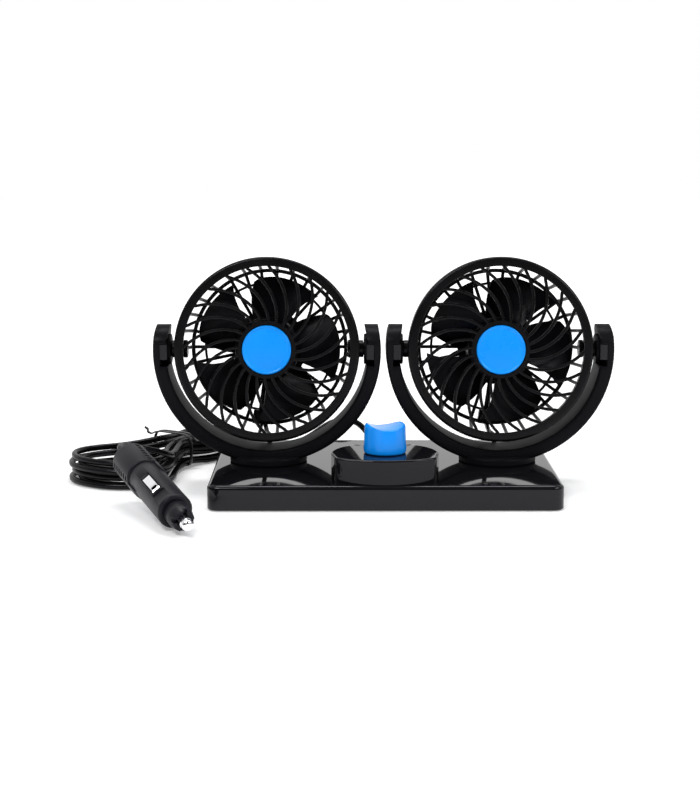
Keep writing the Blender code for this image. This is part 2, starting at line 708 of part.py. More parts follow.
def control_knob(axis):
    foot = KNOB_FOOT_DIAMETER / 2
    top = KNOB_TOP_DIAMETER / 2
    edge = [(x, y) for x, y in arc((top - KNOB_TOP_ROUND, KNOB_HEIGHT - KNOB_TOP_ROUND),
                                   KNOB_TOP_ROUND, math.pi / 2, 0.0, 3)]
    knob = turned("control_knob", [(0.0, KNOB_HEIGHT)] + edge + [(foot, 0.0), (0.0, 0.0)], 28,
                  parent=axis, colour=KNOB_BLUE, roughness=0.25)
    reach = KNOB_FOOT_DIAMETER
    scoop = cylinder("knob_scoop", KNOB_SCOOP_RADIUS, -reach, reach, sides=32, turn=ALONG_Y,
                     parent=axis)
    scoop.location = (0.0, 0.0, KNOB_HEIGHT - KNOB_SCOOP_DEPTH + KNOB_SCOOP_RADIUS)
    flat = math.sqrt(foot ** 2 - (KNOB_FLAT_WIDTH / 2) ** 2)
    socket_top = KNOB_SOCKET_DEPTH + SWITCH_SHAFT_IN_KNOB + GAP
    cut(knob, scoop,
        box("knob_flat", (KNOB_FOOT_DIAMETER, foot, 2 * reach), (0.0, -flat - foot / 2, 0.0),
            parent=axis),
        cylinder("knob_socket", KNOB_SOCKET_DIAMETER / 2, -OVERRUN, KNOB_SOCKET_DEPTH, parent=axis),
        cylinder("knob_bore", SWITCH_SHAFT_DIAMETER / 2 + GAP, 0.0, socket_top, sides=SMALL_SIDES,
                 parent=axis))
    return smooth(knob)


def switch_shaft(axis):
    low = POD_UNDERSIDE - SWITCH_BORE_DEPTH - KNOB_BOTTOM
    high = KNOB_SOCKET_DEPTH + SWITCH_SHAFT_IN_KNOB
    return cylinder("switch_shaft", SWITCH_SHAFT_DIAMETER / 2, low, high, sides=SMALL_SIDES,
                    parent=axis, colour=STEEL, roughness=0.3, metallic=1.0)


def make_base():
    base_cover()
    base_plate()
    base_screws()
    rubber_feet()
    rotary_switch()
    switch_nut()
    speed_resistor()
    cord_gland()
    knob_axis = add_empty("knob_axis", (0.0, KNOB_Y, KNOB_BOTTOM))
    control_knob(knob_axis)
    switch_shaft(knob_axis)


def yoke(side_name, axis):
    """A U-shaped arm on a round neck, with a hollow spindle that turns in the base."""
    pivot = (0.0, PIVOT_HEIGHT)
    inner_radius = YOKE_OUTER_RADIUS - YOKE_THICKNESS
    half_depth = YOKE_DEPTH / 2
    outer_top = math.asin((EAR_TOP + OVERRUN) / YOKE_OUTER_RADIUS)
    inner_top = math.asin((EAR_TOP + OVERRUN) / inner_radius)
    outline = arc(pivot, YOKE_OUTER_RADIUS, -math.pi - outer_top, outer_top, YOKE_ARC_STEPS)
    outline += arc(pivot, inner_radius, inner_top, -math.pi - inner_top, YOKE_ARC_STEPS)
    arm = prism(side_name + "_yoke", outline, -half_depth, half_depth, UPRIGHT_OUTLINE, axis,
                colour=SATIN_BLACK, roughness=0.28)
    round_edges(arm, lambda co: abs(co.y) > half_depth - WELD, YOKE_EDGE_ROUND, 2)
    top_radius = half_depth + YOKE_EDGE_ROUND / 2
    floor = PIVOT_HEIGHT - YOKE_OUTER_RADIUS - OVERRUN
    side_view = arc((0.0, PIVOT_HEIGHT + EAR_TOP - top_radius), top_radius, 0.0, math.pi, 8)
    side_view += [(-top_radius, floor), (top_radius, floor)]
    reach = YOKE_OUTER_RADIUS + OVERRUN
    keep_common(arm, prism("ear_outline", side_view, -reach, reach, SIDE_OUTLINE, axis))
    for side in (-1, 1):
        facing = Matrix.Translation((0.0, 0.0, PIVOT_HEIGHT)) @ Matrix.Rotation(
            side * math.pi / 2, 4, "Y")
        join(arm, cylinder("ear_pad", EAR_PAD_RADIUS, EAR_FACE, inner_radius + EAR_PAD_PROUD / 2,
                           sides=EAR_PAD_SIDES, turn=facing, parent=axis))
        pocket_x = EAR_FACE + EAR_POCKET_SKIN + EAR_POCKET_WIDTH / 2
        pocket_height = EAR_POCKET_TOP + EAR_POCKET_BOTTOM
        pocket_z = PIVOT_HEIGHT + (EAR_POCKET_TOP - EAR_POCKET_BOTTOM) / 2
        depth = EAR_POCKET_DEPTH + OVERRUN
        cut(arm,
            box("ear_pocket", (EAR_POCKET_WIDTH, depth, pocket_height),
                (side * pocket_x, depth / 2 - half_depth - OVERRUN, pocket_z), parent=axis),
            cylinder("pin_hole", PIN_DIAMETER / 2 + GAP, EAR_FACE - OVERRUN, PIN_END + GAP,
                     sides=SMALL_SIDES, turn=facing, parent=axis))
    edge = arc((NECK_RADIUS - NECK_ROUND, NECK_TOP - NECK_ROUND), NECK_ROUND, math.pi / 2, 0.0, 1)
    spindle = SPINDLE_DIAMETER / 2
    join(arm, turned("neck", [(0.0, NECK_TOP)] + edge + [
        (NECK_RADIUS, NECK_BOTTOM), (spindle, NECK_BOTTOM), (spindle, SPINDLE_BOTTOM),
        (0.0, SPINDLE_BOTTOM)], 24, parent=axis))
    groove_top = NECK_BOTTOM + NECK_SHOULDER / 2 + GAP
    bore = SPINDLE_BORE / 2
    cut(arm,
        cylinder("spindle_bore", bore, SPINDLE_BOTTOM - OVERRUN, groove_top, sides=SMALL_SIDES,
                 parent=axis),
        box("lead_groove", (LEAD_GROOVE_WIDTH, GROMMET_Y, groove_top - NECK_BOTTOM + OVERRUN),
            (0.0, GROMMET_Y / 2, (groove_top + NECK_BOTTOM - OVERRUN) / 2), parent=axis),
        cylinder("grommet_hole", GROMMET_DIAMETER / 2 + GAP, NECK_BOTTOM - OVERRUN,
                 NECK_TOP + OVERRUN, (0.0, GROMMET_Y), SMALL_SIDES, parent=axis))
    return smooth(arm)


def flat_ring(name, outer, inner, low, high, parent, sides=ROUND_SIDES, **finish):
    profile = [(inner, high), (outer, high), (outer, low), (inner, low)]
    return turned(name, profile, sides, closed=True, parent=parent, **finish)


def swivel_parts(side_name, axis):
    """The washer under the cover and the ring nut on the spindle, which keep the yoke down."""
    washer_top = COVER_UNDERSIDE - GAP
    washer_low = washer_top - WASHER_THICKNESS
    bore = SPINDLE_DIAMETER / 2 + GAP
    flat_ring(side_name + "_friction_washer", WASHER_DIAMETER / 2, bore, washer_low, washer_top,
              axis, colour=CERAMIC, roughness=0.6)
    flat_ring(side_name + "_spindle_nut", SPINDLE_NUT_DIAMETER / 2, bore,
              washer_low - GAP - SPINDLE_NUT_THICKNESS, washer_low - GAP, axis, colour=STEEL,
              roughness=0.4, metallic=1.0)


def lead_grommet(side_name, axis):
    body = GROMMET_DIAMETER / 2
    flange = GROMMET_FLANGE_DIAMETER / 2
    profile = [(0.0, GROMMET_TOP), (flange, GROMMET_TOP), (flange, NECK_TOP + GAP),
               (body, NECK_TOP + GAP), (body, GROMMET_TOP - GROMMET_HEIGHT),
               (0.0, GROMMET_TOP - GROMMET_HEIGHT)]
    return turned(side_name + "_lead_grommet", profile, SMALL_SIDES,
                  turn=Matrix.Translation((0.0, GROMMET_Y, 0.0)), parent=axis,
                  colour=RUBBER_BLACK, roughness=0.75)


def polar_shell(name, rows, rings, count, first_angle, thickness, parent, **finish):
    """Ribs and rings swept round Z.

    Each row is (radius, height, turn, half angle of a rib). Between two rows a ring fills the whole
    round, and the rest is filled only where the ribs run.
    """
    bm = bmesh.new()
    pitch = 2 * math.pi / count
    grid = []
    for radius, height, turn, half in rows:
        angles = [first_angle + turn + number * pitch + side * half
                  for number in range(count) for side in (-1, 1)]
        grid.append([bm.verts.new((radius * math.cos(angle), radius * math.sin(angle), height))
                     for angle in angles])
    for inner, outer, ring in zip(grid, grid[1:], rings):
        for column in range(2 * count):
            after = (column + 1) % (2 * count)
            if ring or column % 2 == 0:
                bm.faces.new((inner[column], inner[after], outer[after], outer[column]))
    loose = [vert for vert in bm.verts if not vert.link_faces]
    bmesh.ops.delete(bm, geom=loose, context="VERTS")
    mesh = bpy.data.meshes.new(name)
    bm.to_mesh(mesh)
    bm.free()
    shell = add_object(name, mesh, parent=parent, **finish)
    wall = shell.modifiers.new("Wall", "SOLIDIFY")
    wall.thickness = thickness
    wall.offset = 1.0
    wall.use_even_offset = True
    return shell


def rib_row(radius):
    """How far the spiral has turned at a radius, and the half angle that one rib takes there."""
    span = GRILLE_BAND_RADIUS - HUB_RING_RADIUS
    share = min(max((radius - HUB_RING_RADIUS) / span, 0.0), 1.0)
    slope = RIB_SWEEP * RIB_SWEEP_POWER * share ** (RIB_SWEEP_POWER - 1) / span
    at = min(max(radius, HUB_RING_RADIUS), GRILLE_BAND_RADIUS)
    half = RIB_WIDTH / 2 / at * math.sqrt(1 + (at * slope) ** 2)
    return RIB_SWEEP * share ** RIB_SWEEP_POWER, half


def grille_height(radius):
    return GRILLE_FACE + GRILLE_DOME * max(0.0, 1 - (radius / GRILLE_BAND_RADIUS) ** 2)


def front_grille(side_name, axis):
    radii = [HUB_RING_RADIUS - HUB_RING_WIDTH]
    span = GRILLE_BAND_RADIUS - HUB_RING_RADIUS
    radii += [HUB_RING_RADIUS + span * step / RIB_STEPS for step in range(RIB_STEPS + 1)]
    rows = [(radius, grille_height(radius), *rib_row(radius)) for radius in radii]
    edge = GRILLE_RADIUS - GRILLE_EDGE_ROUND
    for radius, height in ((edge, GRILLE_FACE), (GRILLE_RADIUS, GRILLE_FACE - GRILLE_EDGE_ROUND),
                           (GRILLE_RADIUS, GRILLE_BACK)):
        rows.append((radius, height, RIB_SWEEP, math.pi / 2 / RIB_COUNT))
    rings = [True] + [False] * RIB_STEPS + [True] * 3
    return polar_shell(side_name + "_front_grille", rows, rings, RIB_COUNT, RIB_FIRST_ANGLE,
                       GRILLE_THICKNESS, axis, colour=SATIN_BLACK, roughness=0.3)


def hub_cap(side_name, axis):
    """A blue button that sits in the hub ring, with a flange behind it."""
    face = grille_height(HUB_RING_RADIUS)
    ring_back = face - GRILLE_THICKNESS - GAP
    edge = face + HUB_CAP_DOME / 2
    flange = HUB_RING_RADIUS - GAP
    profile = [(0.0, edge + HUB_CAP_DOME), (HUB_CAP_RADIUS * HUB_CAP_DOME_SHARE, edge + HUB_CAP_DOME * HUB_CAP_DOME_SHARE),
               (HUB_CAP_RADIUS - HUB_CAP_DOME / 2, edge), (HUB_CAP_RADIUS, edge - HUB_CAP_DOME / 2),
               (HUB_CAP_RADIUS, ring_back), (flange, ring_back),
               (flange, ring_back - HUB_CAP_FLANGE), (0.0, ring_back - HUB_CAP_FLANGE)]
    return turned(side_name + "_hub_cap", profile, ROUND_SIDES, parent=axis, colour=CAP_BLUE,
                  roughness=0.3)


def rear_cage(side_name, axis):
    """Straight bars from the rim back to the corner ring and in to the motor's mount."""
    rim_back = CAGE_RIM_FRONT - CAGE_RIM_WIDTH
    corner = CAGE_CORNER_RADIUS
    chamfer = CAGE_CORNER_WIDTH
    outline = [(CAGE_RADIUS, CAGE_RIM_FRONT, True), (CAGE_RADIUS, rim_back, False),
               (corner + chamfer / 2, chamfer - CAGE_DEPTH, True),
               (corner - chamfer / 2, -CAGE_DEPTH, False),
               (CAGE_MOUNT_RADIUS, -CAGE_DEPTH, True), (CAGE_MOUNT_BORE, -CAGE_DEPTH, True)]
    least = CAGE_MOUNT_RADIUS
    rows = [(radius, height, 0.0, CAGE_BAR_WIDTH / 2 / max(radius, least))
            for radius, height, _ in outline]
    rows[0] = (CAGE_RADIUS, CAGE_RIM_FRONT, 0.0, math.pi / 2 / CAGE_BAR_COUNT)
    cage = polar_shell(side_name + "_rear_cage", rows, [ring for _, _, ring in outline[:-1]],
                       CAGE_BAR_COUNT, 0.0, CAGE_THICKNESS, axis, colour=SATIN_BLACK,
                       roughness=0.4)
    stub_end = EAR_FACE - GAP
    for side in (-1, 1):
        facing = Matrix.Rotation(side * math.pi / 2, 4, "Y")
        join(cage, cylinder("pivot_stub", CAGE_STUB_DIAMETER / 2, CAGE_BOSS_INNER, stub_end,
                            sides=12, turn=facing, parent=axis))
        cut(cage, cylinder("pivot_bore", PIN_DIAMETER / 2 + GAP, CAGE_BOSS_INNER - OVERRUN,
                           stub_end + OVERRUN, sides=SMALL_SIDES, turn=facing, parent=axis))
    block_middle = (LEAD_BLOCK_INNER + LEAD_BLOCK_OUTER) / 2
    join(cage, box("lead_block", (LEAD_BLOCK_OUTER - LEAD_BLOCK_INNER, LEAD_BLOCK_WIDTH,
                                  LEAD_BLOCK_HEIGHT),
                   (block_middle, 0.0, LEAD_BLOCK_HEIGHT / 2 - CAGE_DEPTH),
                   Matrix.Rotation(LEAD_ANGLE, 4, "Z"), axis))
    for place in motor_screw_places():
        cut(cage, cylinder("motor_screw_hole", MOTOR_SCREW_DIAMETER / 2 + GAP,
                           -CAGE_DEPTH - OVERRUN, CAGE_FLOOR_FRONT + OVERRUN, place, SCREW_SIDES,
                           parent=axis))
    return smooth(cage)


def motor_screw_places():
    radius = MOTOR_SCREW_CIRCLE / 2
    angle = LEAD_ANGLE + math.pi / 2
    return [(side * radius * math.cos(angle), side * radius * math.sin(angle))
            for side in (-1, 1)]


def motor(side_name, axis):
    """A can on the cage's mount, with a rear boss in the mount's bore and a bore for its shaft."""
    bore = SHAFT_DIAMETER / 2 + SHAFT_RUNNING_GAP
    bore_floor = MOTOR_FRONT - shaft_in_motor() - GAP
    profile = [(0.0, bore_floor), (bore, bore_floor), (bore, MOTOR_FRONT),
               (MOTOR_RADIUS - MOTOR_EDGE, MOTOR_FRONT), (MOTOR_RADIUS, MOTOR_FRONT - MOTOR_EDGE),
               (MOTOR_RADIUS, MOTOR_BACK), (MOTOR_BOSS_RADIUS, MOTOR_BACK),
               (MOTOR_BOSS_RADIUS, -CAGE_DEPTH), (0.0, -CAGE_DEPTH)]
    can = turned(side_name + "_motor", profile, ROUND_SIDES, parent=axis, colour=BLADE_BLACK,
                 roughness=0.45, metallic=0.3)
    for place in motor_screw_places():
        cut(can, cylinder("motor_thread", MOTOR_SCREW_DIAMETER / 2 + GAP, MOTOR_BACK - OVERRUN,
                          MOTOR_SCREW_LENGTH - CAGE_DEPTH, place, SCREW_SIDES, parent=axis))
    return can


def motor_screws(side_name, axis):
    profile = screw_profile(MOTOR_SCREW_DIAMETER, MOTOR_SCREW_HEAD, MOTOR_SCREW_HEAD_HEIGHT,
                            MOTOR_SCREW_LENGTH - GAP)
    for number, (x, y) in enumerate(motor_screw_places(), 1):
        turned(f"{side_name}_motor_screw_{number}", profile, SCREW_SIDES,
               turn=Matrix.Translation((x, y, -CAGE_DEPTH - GAP)), parent=axis, colour=STEEL,
               roughness=0.35, metallic=1.0)


def pivot_pins(side_name, axis):
    head_outer = CAGE_BOSS_INNER - GAP
    profile = [(0.0, PIN_END), (PIN_DIAMETER / 2, PIN_END), (PIN_DIAMETER / 2, head_outer),
               (PIN_HEAD_DIAMETER / 2, head_outer),
               (PIN_HEAD_DIAMETER / 2, head_outer - PIN_HEAD_THICKNESS),
               (0.0, head_outer - PIN_HEAD_THICKNESS)]
    for number, side in enumerate((-1, 1), 1):
        turned(f"{side_name}_pivot_pin_{number}", profile, SMALL_SIDES,
               turn=Matrix.Rotation(side * math.pi / 2, 4, "Y"), parent=axis, colour=SATIN_BLACK,
               roughness=0.35)


def shaft_in_motor():
    return 2 * SHAFT_DIAMETER


def fan_rotor(side_name, axis):
    """A cup-shaped hub that covers the motor's front, with five swept blades."""
    outer = ROTOR_HUB_RADIUS
    inner = outer - ROTOR_HUB_WALL
    under = ROTOR_HUB_FRONT - ROTOR_HUB_WALL
    boss = ROTOR_BOSS_RADIUS
    bore = SHAFT_DIAMETER / 2 + GAP
    boss_back = MOTOR_FRONT + ROTOR_HUB_WALL
    edge = arc((outer - ROTOR_HUB_ROUND, ROTOR_HUB_FRONT - ROTOR_HUB_ROUND), ROTOR_HUB_ROUND,
               math.pi / 2, 0.0, 1)
    profile = [(0.0, ROTOR_HUB_FRONT)] + edge
    profile += [(outer, -ROTOR_HUB_BACK), (inner, -ROTOR_HUB_BACK), (inner, under), (boss, under),
                (boss, boss_back), (bore, boss_back), (bore, under), (0.0, under)]
    rotor = turned(side_name + "_fan_rotor", profile, ROUND_SIDES, parent=axis, colour=BLADE_BLACK,
                   roughness=0.2)
    blades = [fan_blade(number * 2 * math.pi / BLADE_COUNT) for number in range(BLADE_COUNT)]
    join(rotor, merged("blades", blades, parent=axis))
    return smooth(rotor)


def fan_blade(turn):
    """A twisted sheet that leans from the hub's rear rim to its front rim, given a thickness."""
    bm = bmesh.new()
    root = ROTOR_HUB_RADIUS - ROTOR_HUB_WALL / 2
    grid = []
    for out in range(BLADE_STEPS_OUT + 1):
        share = out / BLADE_STEPS_OUT
        start = BLADE_ROOT_START + (BLADE_TIP_START - BLADE_ROOT_START) * share
        span = BLADE_ROOT_SPAN + (BLADE_TIP_SPAN - BLADE_ROOT_SPAN) * share
        rise = BLADE_RISE_AT_HUB + (BLADE_RISE_AT_TIP - BLADE_RISE_AT_HUB) * share
        row = []
        for step in range(BLADE_STEPS_ROUND + 1):
            along = step / BLADE_STEPS_ROUND
            radius = root + (ROTOR_RADIUS - BLADE_CORNER * along ** BLADE_CORNER_POWER - root) * share
            angle = turn + start + span * along
            height = BLADE_MID + rise * (0.5 - along)
            row.append(bm.verts.new((radius * math.cos(angle), radius * math.sin(angle), height)))
        grid.append(row)
    for inner, outer in zip(grid, grid[1:]):
        for step in range(BLADE_STEPS_ROUND):
            bm.faces.new((inner[step], outer[step], outer[step + 1], inner[step + 1]))
    mesh = bpy.data.meshes.new("blade")
    bm.to_mesh(mesh)
    bm.free()
    sheet = add_object("blade", mesh)
    wall = sheet.modifiers.new("Wall", "SOLIDIFY")
    wall.thickness = BLADE_THICKNESS
    wall.offset = 0.0
    solid = mesh_of(sheet)
    bpy.data.objects.remove(sheet)
    return add_object("blade", solid)


def motor_shaft(side_name, axis):
    return cylinder(side_name + "_motor_shaft", SHAFT_DIAMETER / 2, MOTOR_FRONT - shaft_in_motor(),
                    ROTOR_HUB_FRONT - ROTOR_HUB_WALL - GAP, sides=SMALL_SIDES, parent=axis,
                    colour=STEEL, roughness=0.25, metallic=1.0)


def smooth_route(points, spacing):
    """Points at an even spacing along a smooth curve through a route.

    The first and last stretches of the route stay straight.
    """
    places = [Vector(point) for point in points]
    fine = [places[0]]
    for index in range(1, len(places) - 2):
        start, end = places[index], places[index + 1]
        chord = (end - start).length
        leave = (end - places[index - 1]).normalized()
        arrive = (places[index + 2] - start).normalized()
        if index == 1:
            leave = (start - places[0]).normalized()
        if index == len(places) - 3:
            arrive = (places[-1] - end).normalized()
        for step in range(16):
            share = step / 16
            square, cube = share ** 2, share ** 3
            fine.append(start * (2 * cube - 3 * square + 1) + end * (3 * square - 2 * cube)
                        + leave * (chord * (cube - 2 * square + share))
                        + arrive * (chord * (cube - square)))
    fine += places[-2:]
    lengths = [0.0]
    for first, second in zip(fine, fine[1:]):
        lengths.append(lengths[-1] + (second - first).length)
    first_bend = (places[1] - places[0]).length
    last_bend = lengths[-1] - (places[-1] - places[-2]).length
    count = max(2, round((last_bend - first_bend) / spacing))
    wanted = [first_bend + (last_bend - first_bend) * step / count for step in range(count + 1)]
    result = [places[0]]
    index = 0
    for length in wanted:
        while index < len(lengths) - 2 and lengths[index + 1] < length:
            index += 1
        share = (length - lengths[index]) / (lengths[index + 1] - lengths[index])
        result.append(fine[index].lerp(fine[index + 1], share))
    return result + [places[-1]]


def tube(name, points, diameter, resolution, parent=None, **finish):
    curve = bpy.data.curves.new(name, "CURVE")
    curve.dimensions = "3D"
    curve.bevel_depth = diameter / 2
    curve.bevel_resolution = resolution
    curve.use_fill_caps = True
    spline = curve.splines.new("POLY")
    spline.points.add(len(points) - 1)
    for point, place in zip(spline.points, points):
        point.co = (*place, 1.0)
    spline.use_smooth = True
    return add_object(name, curve, parent=parent, **finish)


def motor_lead(side_name, axis):
    """The stretch that lies against the cage, from the motor out to the block."""
    direction = Vector((math.cos(LEAD_ANGLE), math.sin(LEAD_ANGLE), 0.0))
    start = MOTOR_RADIUS + GAP
    end = LEAD_BLOCK_INNER - GAP
    count = round((end - start) / LEAD_POINT_SPACING) + 1
    points = [direction * (start + (end - start) * step / count) + Vector((0.0, 0.0, LEAD_HEIGHT))
              for step in range(count + 1)]
    return tube(side_name + "_motor_lead", points, LEAD_DIAMETER, 2, axis, colour=RUBBER_BLACK,
                roughness=0.6)


def lead_loop(side_name, yoke_axis):
    """The slack stretch behind the yoke, from the cage's block down to the neck's grommet."""
    radius = (LEAD_BLOCK_INNER + LEAD_BLOCK_OUTER) / 2
    leave = Vector((radius * math.cos(LEAD_ANGLE), radius * math.sin(LEAD_ANGLE),
                    -CAGE_DEPTH - GAP))
    back = leave - Vector((0.0, 0.0, LEAD_DIAMETER))
    tilt = Matrix.Rotation(math.pi / 2 - REST_TILT, 4, "X")
    start = tilt @ leave + Vector((0.0, 0.0, PIVOT_HEIGHT))
    second = tilt @ back + Vector((0.0, 0.0, PIVOT_HEIGHT))
    out = LEAD_LOOP_LENGTH_BACK
    bend = (start.z - GROMMET_TOP) * LOOP_BEND_SHARE
    high, middle, near = (start.x * share for share in LOOP_SIDE_SHARES)
    low = start.z - 2 * bend
    route = [start, second, (start.x, start.y + out, start.z - bend / 4),
             (high, start.y + out + bend, start.z - bend), (middle, start.y + out, low),
             (near, start.y + bend, low), (0.0, GROMMET_Y + bend / 3, low - bend / 4),
             (0.0, GROMMET_Y, GROMMET_TOP + GAP + LEAD_DIAMETER), (0.0, GROMMET_Y, GROMMET_TOP + GAP)]
    return tube(side_name + "_lead_loop", smooth_route(route, LOOP_POINT_SPACING), LEAD_DIAMETER, 2,
                yoke_axis, colour=RUBBER_BLACK, roughness=0.6)


def make_head(side_name, side):
    """One fan: the yoke turns on the base, the head tilts in the yoke, the fan turns in the head."""
    yoke_axis = add_empty(side_name + "_swivel_axis", (side * HEAD_SPACING / 2, HEAD_Y, 0.0))
    yoke(side_name, yoke_axis)
    swivel_parts(side_name, yoke_axis)
    lead_grommet(side_name, yoke_axis)
    head_axis = add_empty(side_name + "_tilt_axis", (0.0, 0.0, PIVOT_HEIGHT), yoke_axis,
                          math.pi / 2 - REST_TILT)
    front_grille(side_name, head_axis)
    hub_cap(side_name, head_axis)
    rear_cage(side_name, head_axis)
    motor(side_name, head_axis)
    motor_screws(side_name, head_axis)
    pivot_pins(side_name, head_axis)
    motor_lead(side_name, head_axis)
    lead_loop(side_name, yoke_axis)
    fan_axis = add_empty(side_name + "_fan_axis", (0.0, 0.0, 0.0), head_axis)
    if side > 0:
        fan_axis.rotation_euler = (0.0, 0.0, RIGHT_BLADE_TURN)
    fan_rotor(side_name, fan_axis)
    motor_shaft(side_name, fan_axis)


def tie_frame():
    """The hank's own frame: X along it towards its right end, origin on the floor under its tie."""
    return Matrix.Translation((HANK_X, HANK_Y, 0.0)) @ Matrix.Rotation(HANK_TURN, 4, "Z")


def eased(share):
    share = min(max(share, 0.0), 1.0)
    return share * share * (3 - 2 * share)


def hank_outline(angle):
    """The outermost loop seen from above: two unlike lobes, drawn in at the waist."""
    cosine, sine = math.cos(angle), math.sin(angle)
    length, lobe = (HANK_RIGHT_LENGTH, HANK_RIGHT_WIDTH) if cosine > 0 else (
        HANK_LEFT_LENGTH, HANK_LEFT_WIDTH)
    spread = HANK_WAIST + (lobe - HANK_WAIST) * eased(abs(cosine) / HANK_SPREAD_SHARE)
    return Vector((length * cosine, spread * math.copysign(abs(sine) ** HANK_BLUNT_SHARE, sine)))


def hank_point(turns):
    """A point of the hank's centre line, after a number of turns.

    The loops spiral in and out by turns, and climb a layer in the half turn round each reversal.
    """
    angle = -math.pi / 2 - 2 * math.pi * turns
    wound = min(max(turns, 0.0), HANK_TURNS)
    phase = wound % (2 * HANK_TURNS_PER_LAYER)
    inset = HANK_STEP * min(phase, 2 * HANK_TURNS_PER_LAYER - phase)
    layer = 0.0
    for number in range(1, HANK_LAYERS):
        layer += min(max(2 * (wound - number * HANK_TURNS_PER_LAYER) + 0.5, 0.0), 1.0)
    nudge = math.radians(1)
    along = (hank_outline(angle - nudge) - hank_outline(angle + nudge)).normalized()
    place = hank_outline(angle) + Vector((along.y, -along.x)) * inset
    lift = (TIE_DIAMETER + GAP) * (1 - eased(abs(math.cos(angle)) / HANK_LIFT_SHARE))
    return Vector((*place, CORD_DIAMETER / 2 + GAP + lift + layer * HANK_LAYER_STEP))


def hank_path():
    """The hank's centre line, with a straight end of one diameter at each end."""
    count = round(HANK_TURNS * HANK_POINTS_PER_TURN)
    first = -HANK_END_TURN
    last = HANK_TURNS + HANK_END_TURN
    count += 2
    inner = [hank_point(first + (last - first) * step / count) for step in range(count + 1)]
    level = Vector((1.0, 1.0, 0.0))
    start = inner[0] + ((inner[0] - inner[1]) * level).normalized() * CORD_DIAMETER
    end = inner[-1] + ((inner[-1] - inner[-2]) * level).normalized() * CORD_DIAMETER
    frame = tie_frame()
    return [frame @ point for point in [start] + inner + [end]]


def least_gap(points, diameter):
    """The least gap between a tube's turns, measured on points along its centre line."""
    fine = []
    for first, second in zip(points, points[1:]):
        fine += [first.lerp(second, step / 10) for step in range(10)]
    places = np.array([tuple(point) for point in fine])
    steps = np.linalg.norm(np.diff(places, axis=0), axis=1)
    along = np.concatenate(([0.0], np.cumsum(steps)))
    least = math.inf
    for index in range(0, len(places)):
        far = along - along[index] > 4 * diameter
        if far.any():
            distances = np.linalg.norm(places[far] - places[index], axis=1)
            least = min(least, float(distances.min()))
    return least - diameter


def beyond(first, second, distance):
    """The place at a distance past the second point, on the line from the first."""
    return second + (second - first).normalized() * distance


def make_cord():
    """The cord from the gland to the hank, the hank in its tie, and the lead to the plug."""
    finish = {"colour": RUBBER_BLACK, "roughness": 0.45}
    hank = hank_path()
    tube("cord_hank", hank, CORD_DIAMETER, 1, **finish)
    print(f"least gap in the hank: {least_gap(hank, CORD_DIAMETER) * 1000:.2f} mm")
    leave = Vector((GLAND_X, REAR_WALL_Y + GAP + GLAND_FLANGE + GLAND_TAIL + GAP, GLAND_Z))
    straight = leave + Vector((0.0, CORD_DIAMETER, 0.0))
    meet = beyond(hank[1], hank[0], GAP)
    before = beyond(hank[1], hank[0], GAP + CORD_DIAMETER)
    spacing = CORD_POINT_SPACING
    route = [leave, straight, *TAIL_ROUTE, before, meet]
    tube("cord_tail", smooth_route(route, spacing), CORD_DIAMETER, 2, **finish)
    relief_end = plug_frame() @ Vector((0.0, 0.0, -PLUG_BODY_LENGTH - PLUG_GRIP_LENGTH
                                        - PLUG_RELIEF_OUTSIDE - GAP))
    relief_back = plug_frame() @ Vector((0.0, 0.0, -PLUG_BODY_LENGTH - PLUG_GRIP_LENGTH
                                         - PLUG_RELIEF_OUTSIDE - GAP - CORD_DIAMETER))
    depart = beyond(hank[-2], hank[-1], GAP)
    after = beyond(hank[-2], hank[-1], GAP + CORD_DIAMETER)
    route = [depart, after, *LEAD_ROUTE, relief_back, relief_end]
    tube("cord_lead", smooth_route(route, spacing), CORD_DIAMETER, 2, **finish)
    cord_tie()


def cord_tie():
    """A wire tie round the hank's waist, wrapped once and a half, with its two ends free."""
    half = HANK_WAIST + CORD_DIAMETER / 2 + TIE_DIAMETER + TIE_ROOM
    low = TIE_DIAMETER / 2
    high = (TIE_DIAMETER + 2 * GAP + CORD_DIAMETER + (HANK_LAYERS - 1) * HANK_LAYER_STEP
            + TIE_DIAMETER + TIE_ROOM)
    corner = CORD_DIAMETER / 2
    middle = (low + high) / 2
    tall = (high - low) / 2
    places = []
    steps = TIE_POINTS
    for step in range(steps + 1):
        angle = TIE_START - TIE_WRAP * step / steps
        cosine, sine = math.cos(angle), math.sin(angle)
        across = half * math.copysign(abs(cosine) ** TIE_SQUARE_SHARE, cosine)
        height = middle + tall * math.copysign(abs(sine) ** TIE_SQUARE_SHARE, sine)
        places.append(Vector((TIE_STEP * step / steps - TIE_STEP / 2, -across, height)))
    start = places[0] + Vector((-corner, corner, 2 * corner))
    end = beyond(places[-2], places[-1], 2 * corner)
    frame = tie_frame()
    points = [frame @ point for point in [start, *places, end]]
    tube("cord_tie", points, TIE_DIAMETER, 0, colour=RUBBER_BLACK, roughness=0.5)


def plug_frame():
    """The plug's own frame: Z points out of its tip and the window faces Y; origin at its front rim."""
    axis = (Vector(PLUG_TIP) - Vector(PLUG_REAR)).normalized()
    window = Vector(PLUG_WINDOW_FACING)
    window = (window - axis * window.dot(axis)).normalized()
    side = window.cross(axis)
    turn = Matrix((side, window, axis)).transposed().to_4x4()
    front = Vector(PLUG_TIP) - axis * (PLUG_NOSE_LENGTH + PLUG_TIP_OUT)
    return Matrix.Translation(front) @ turn


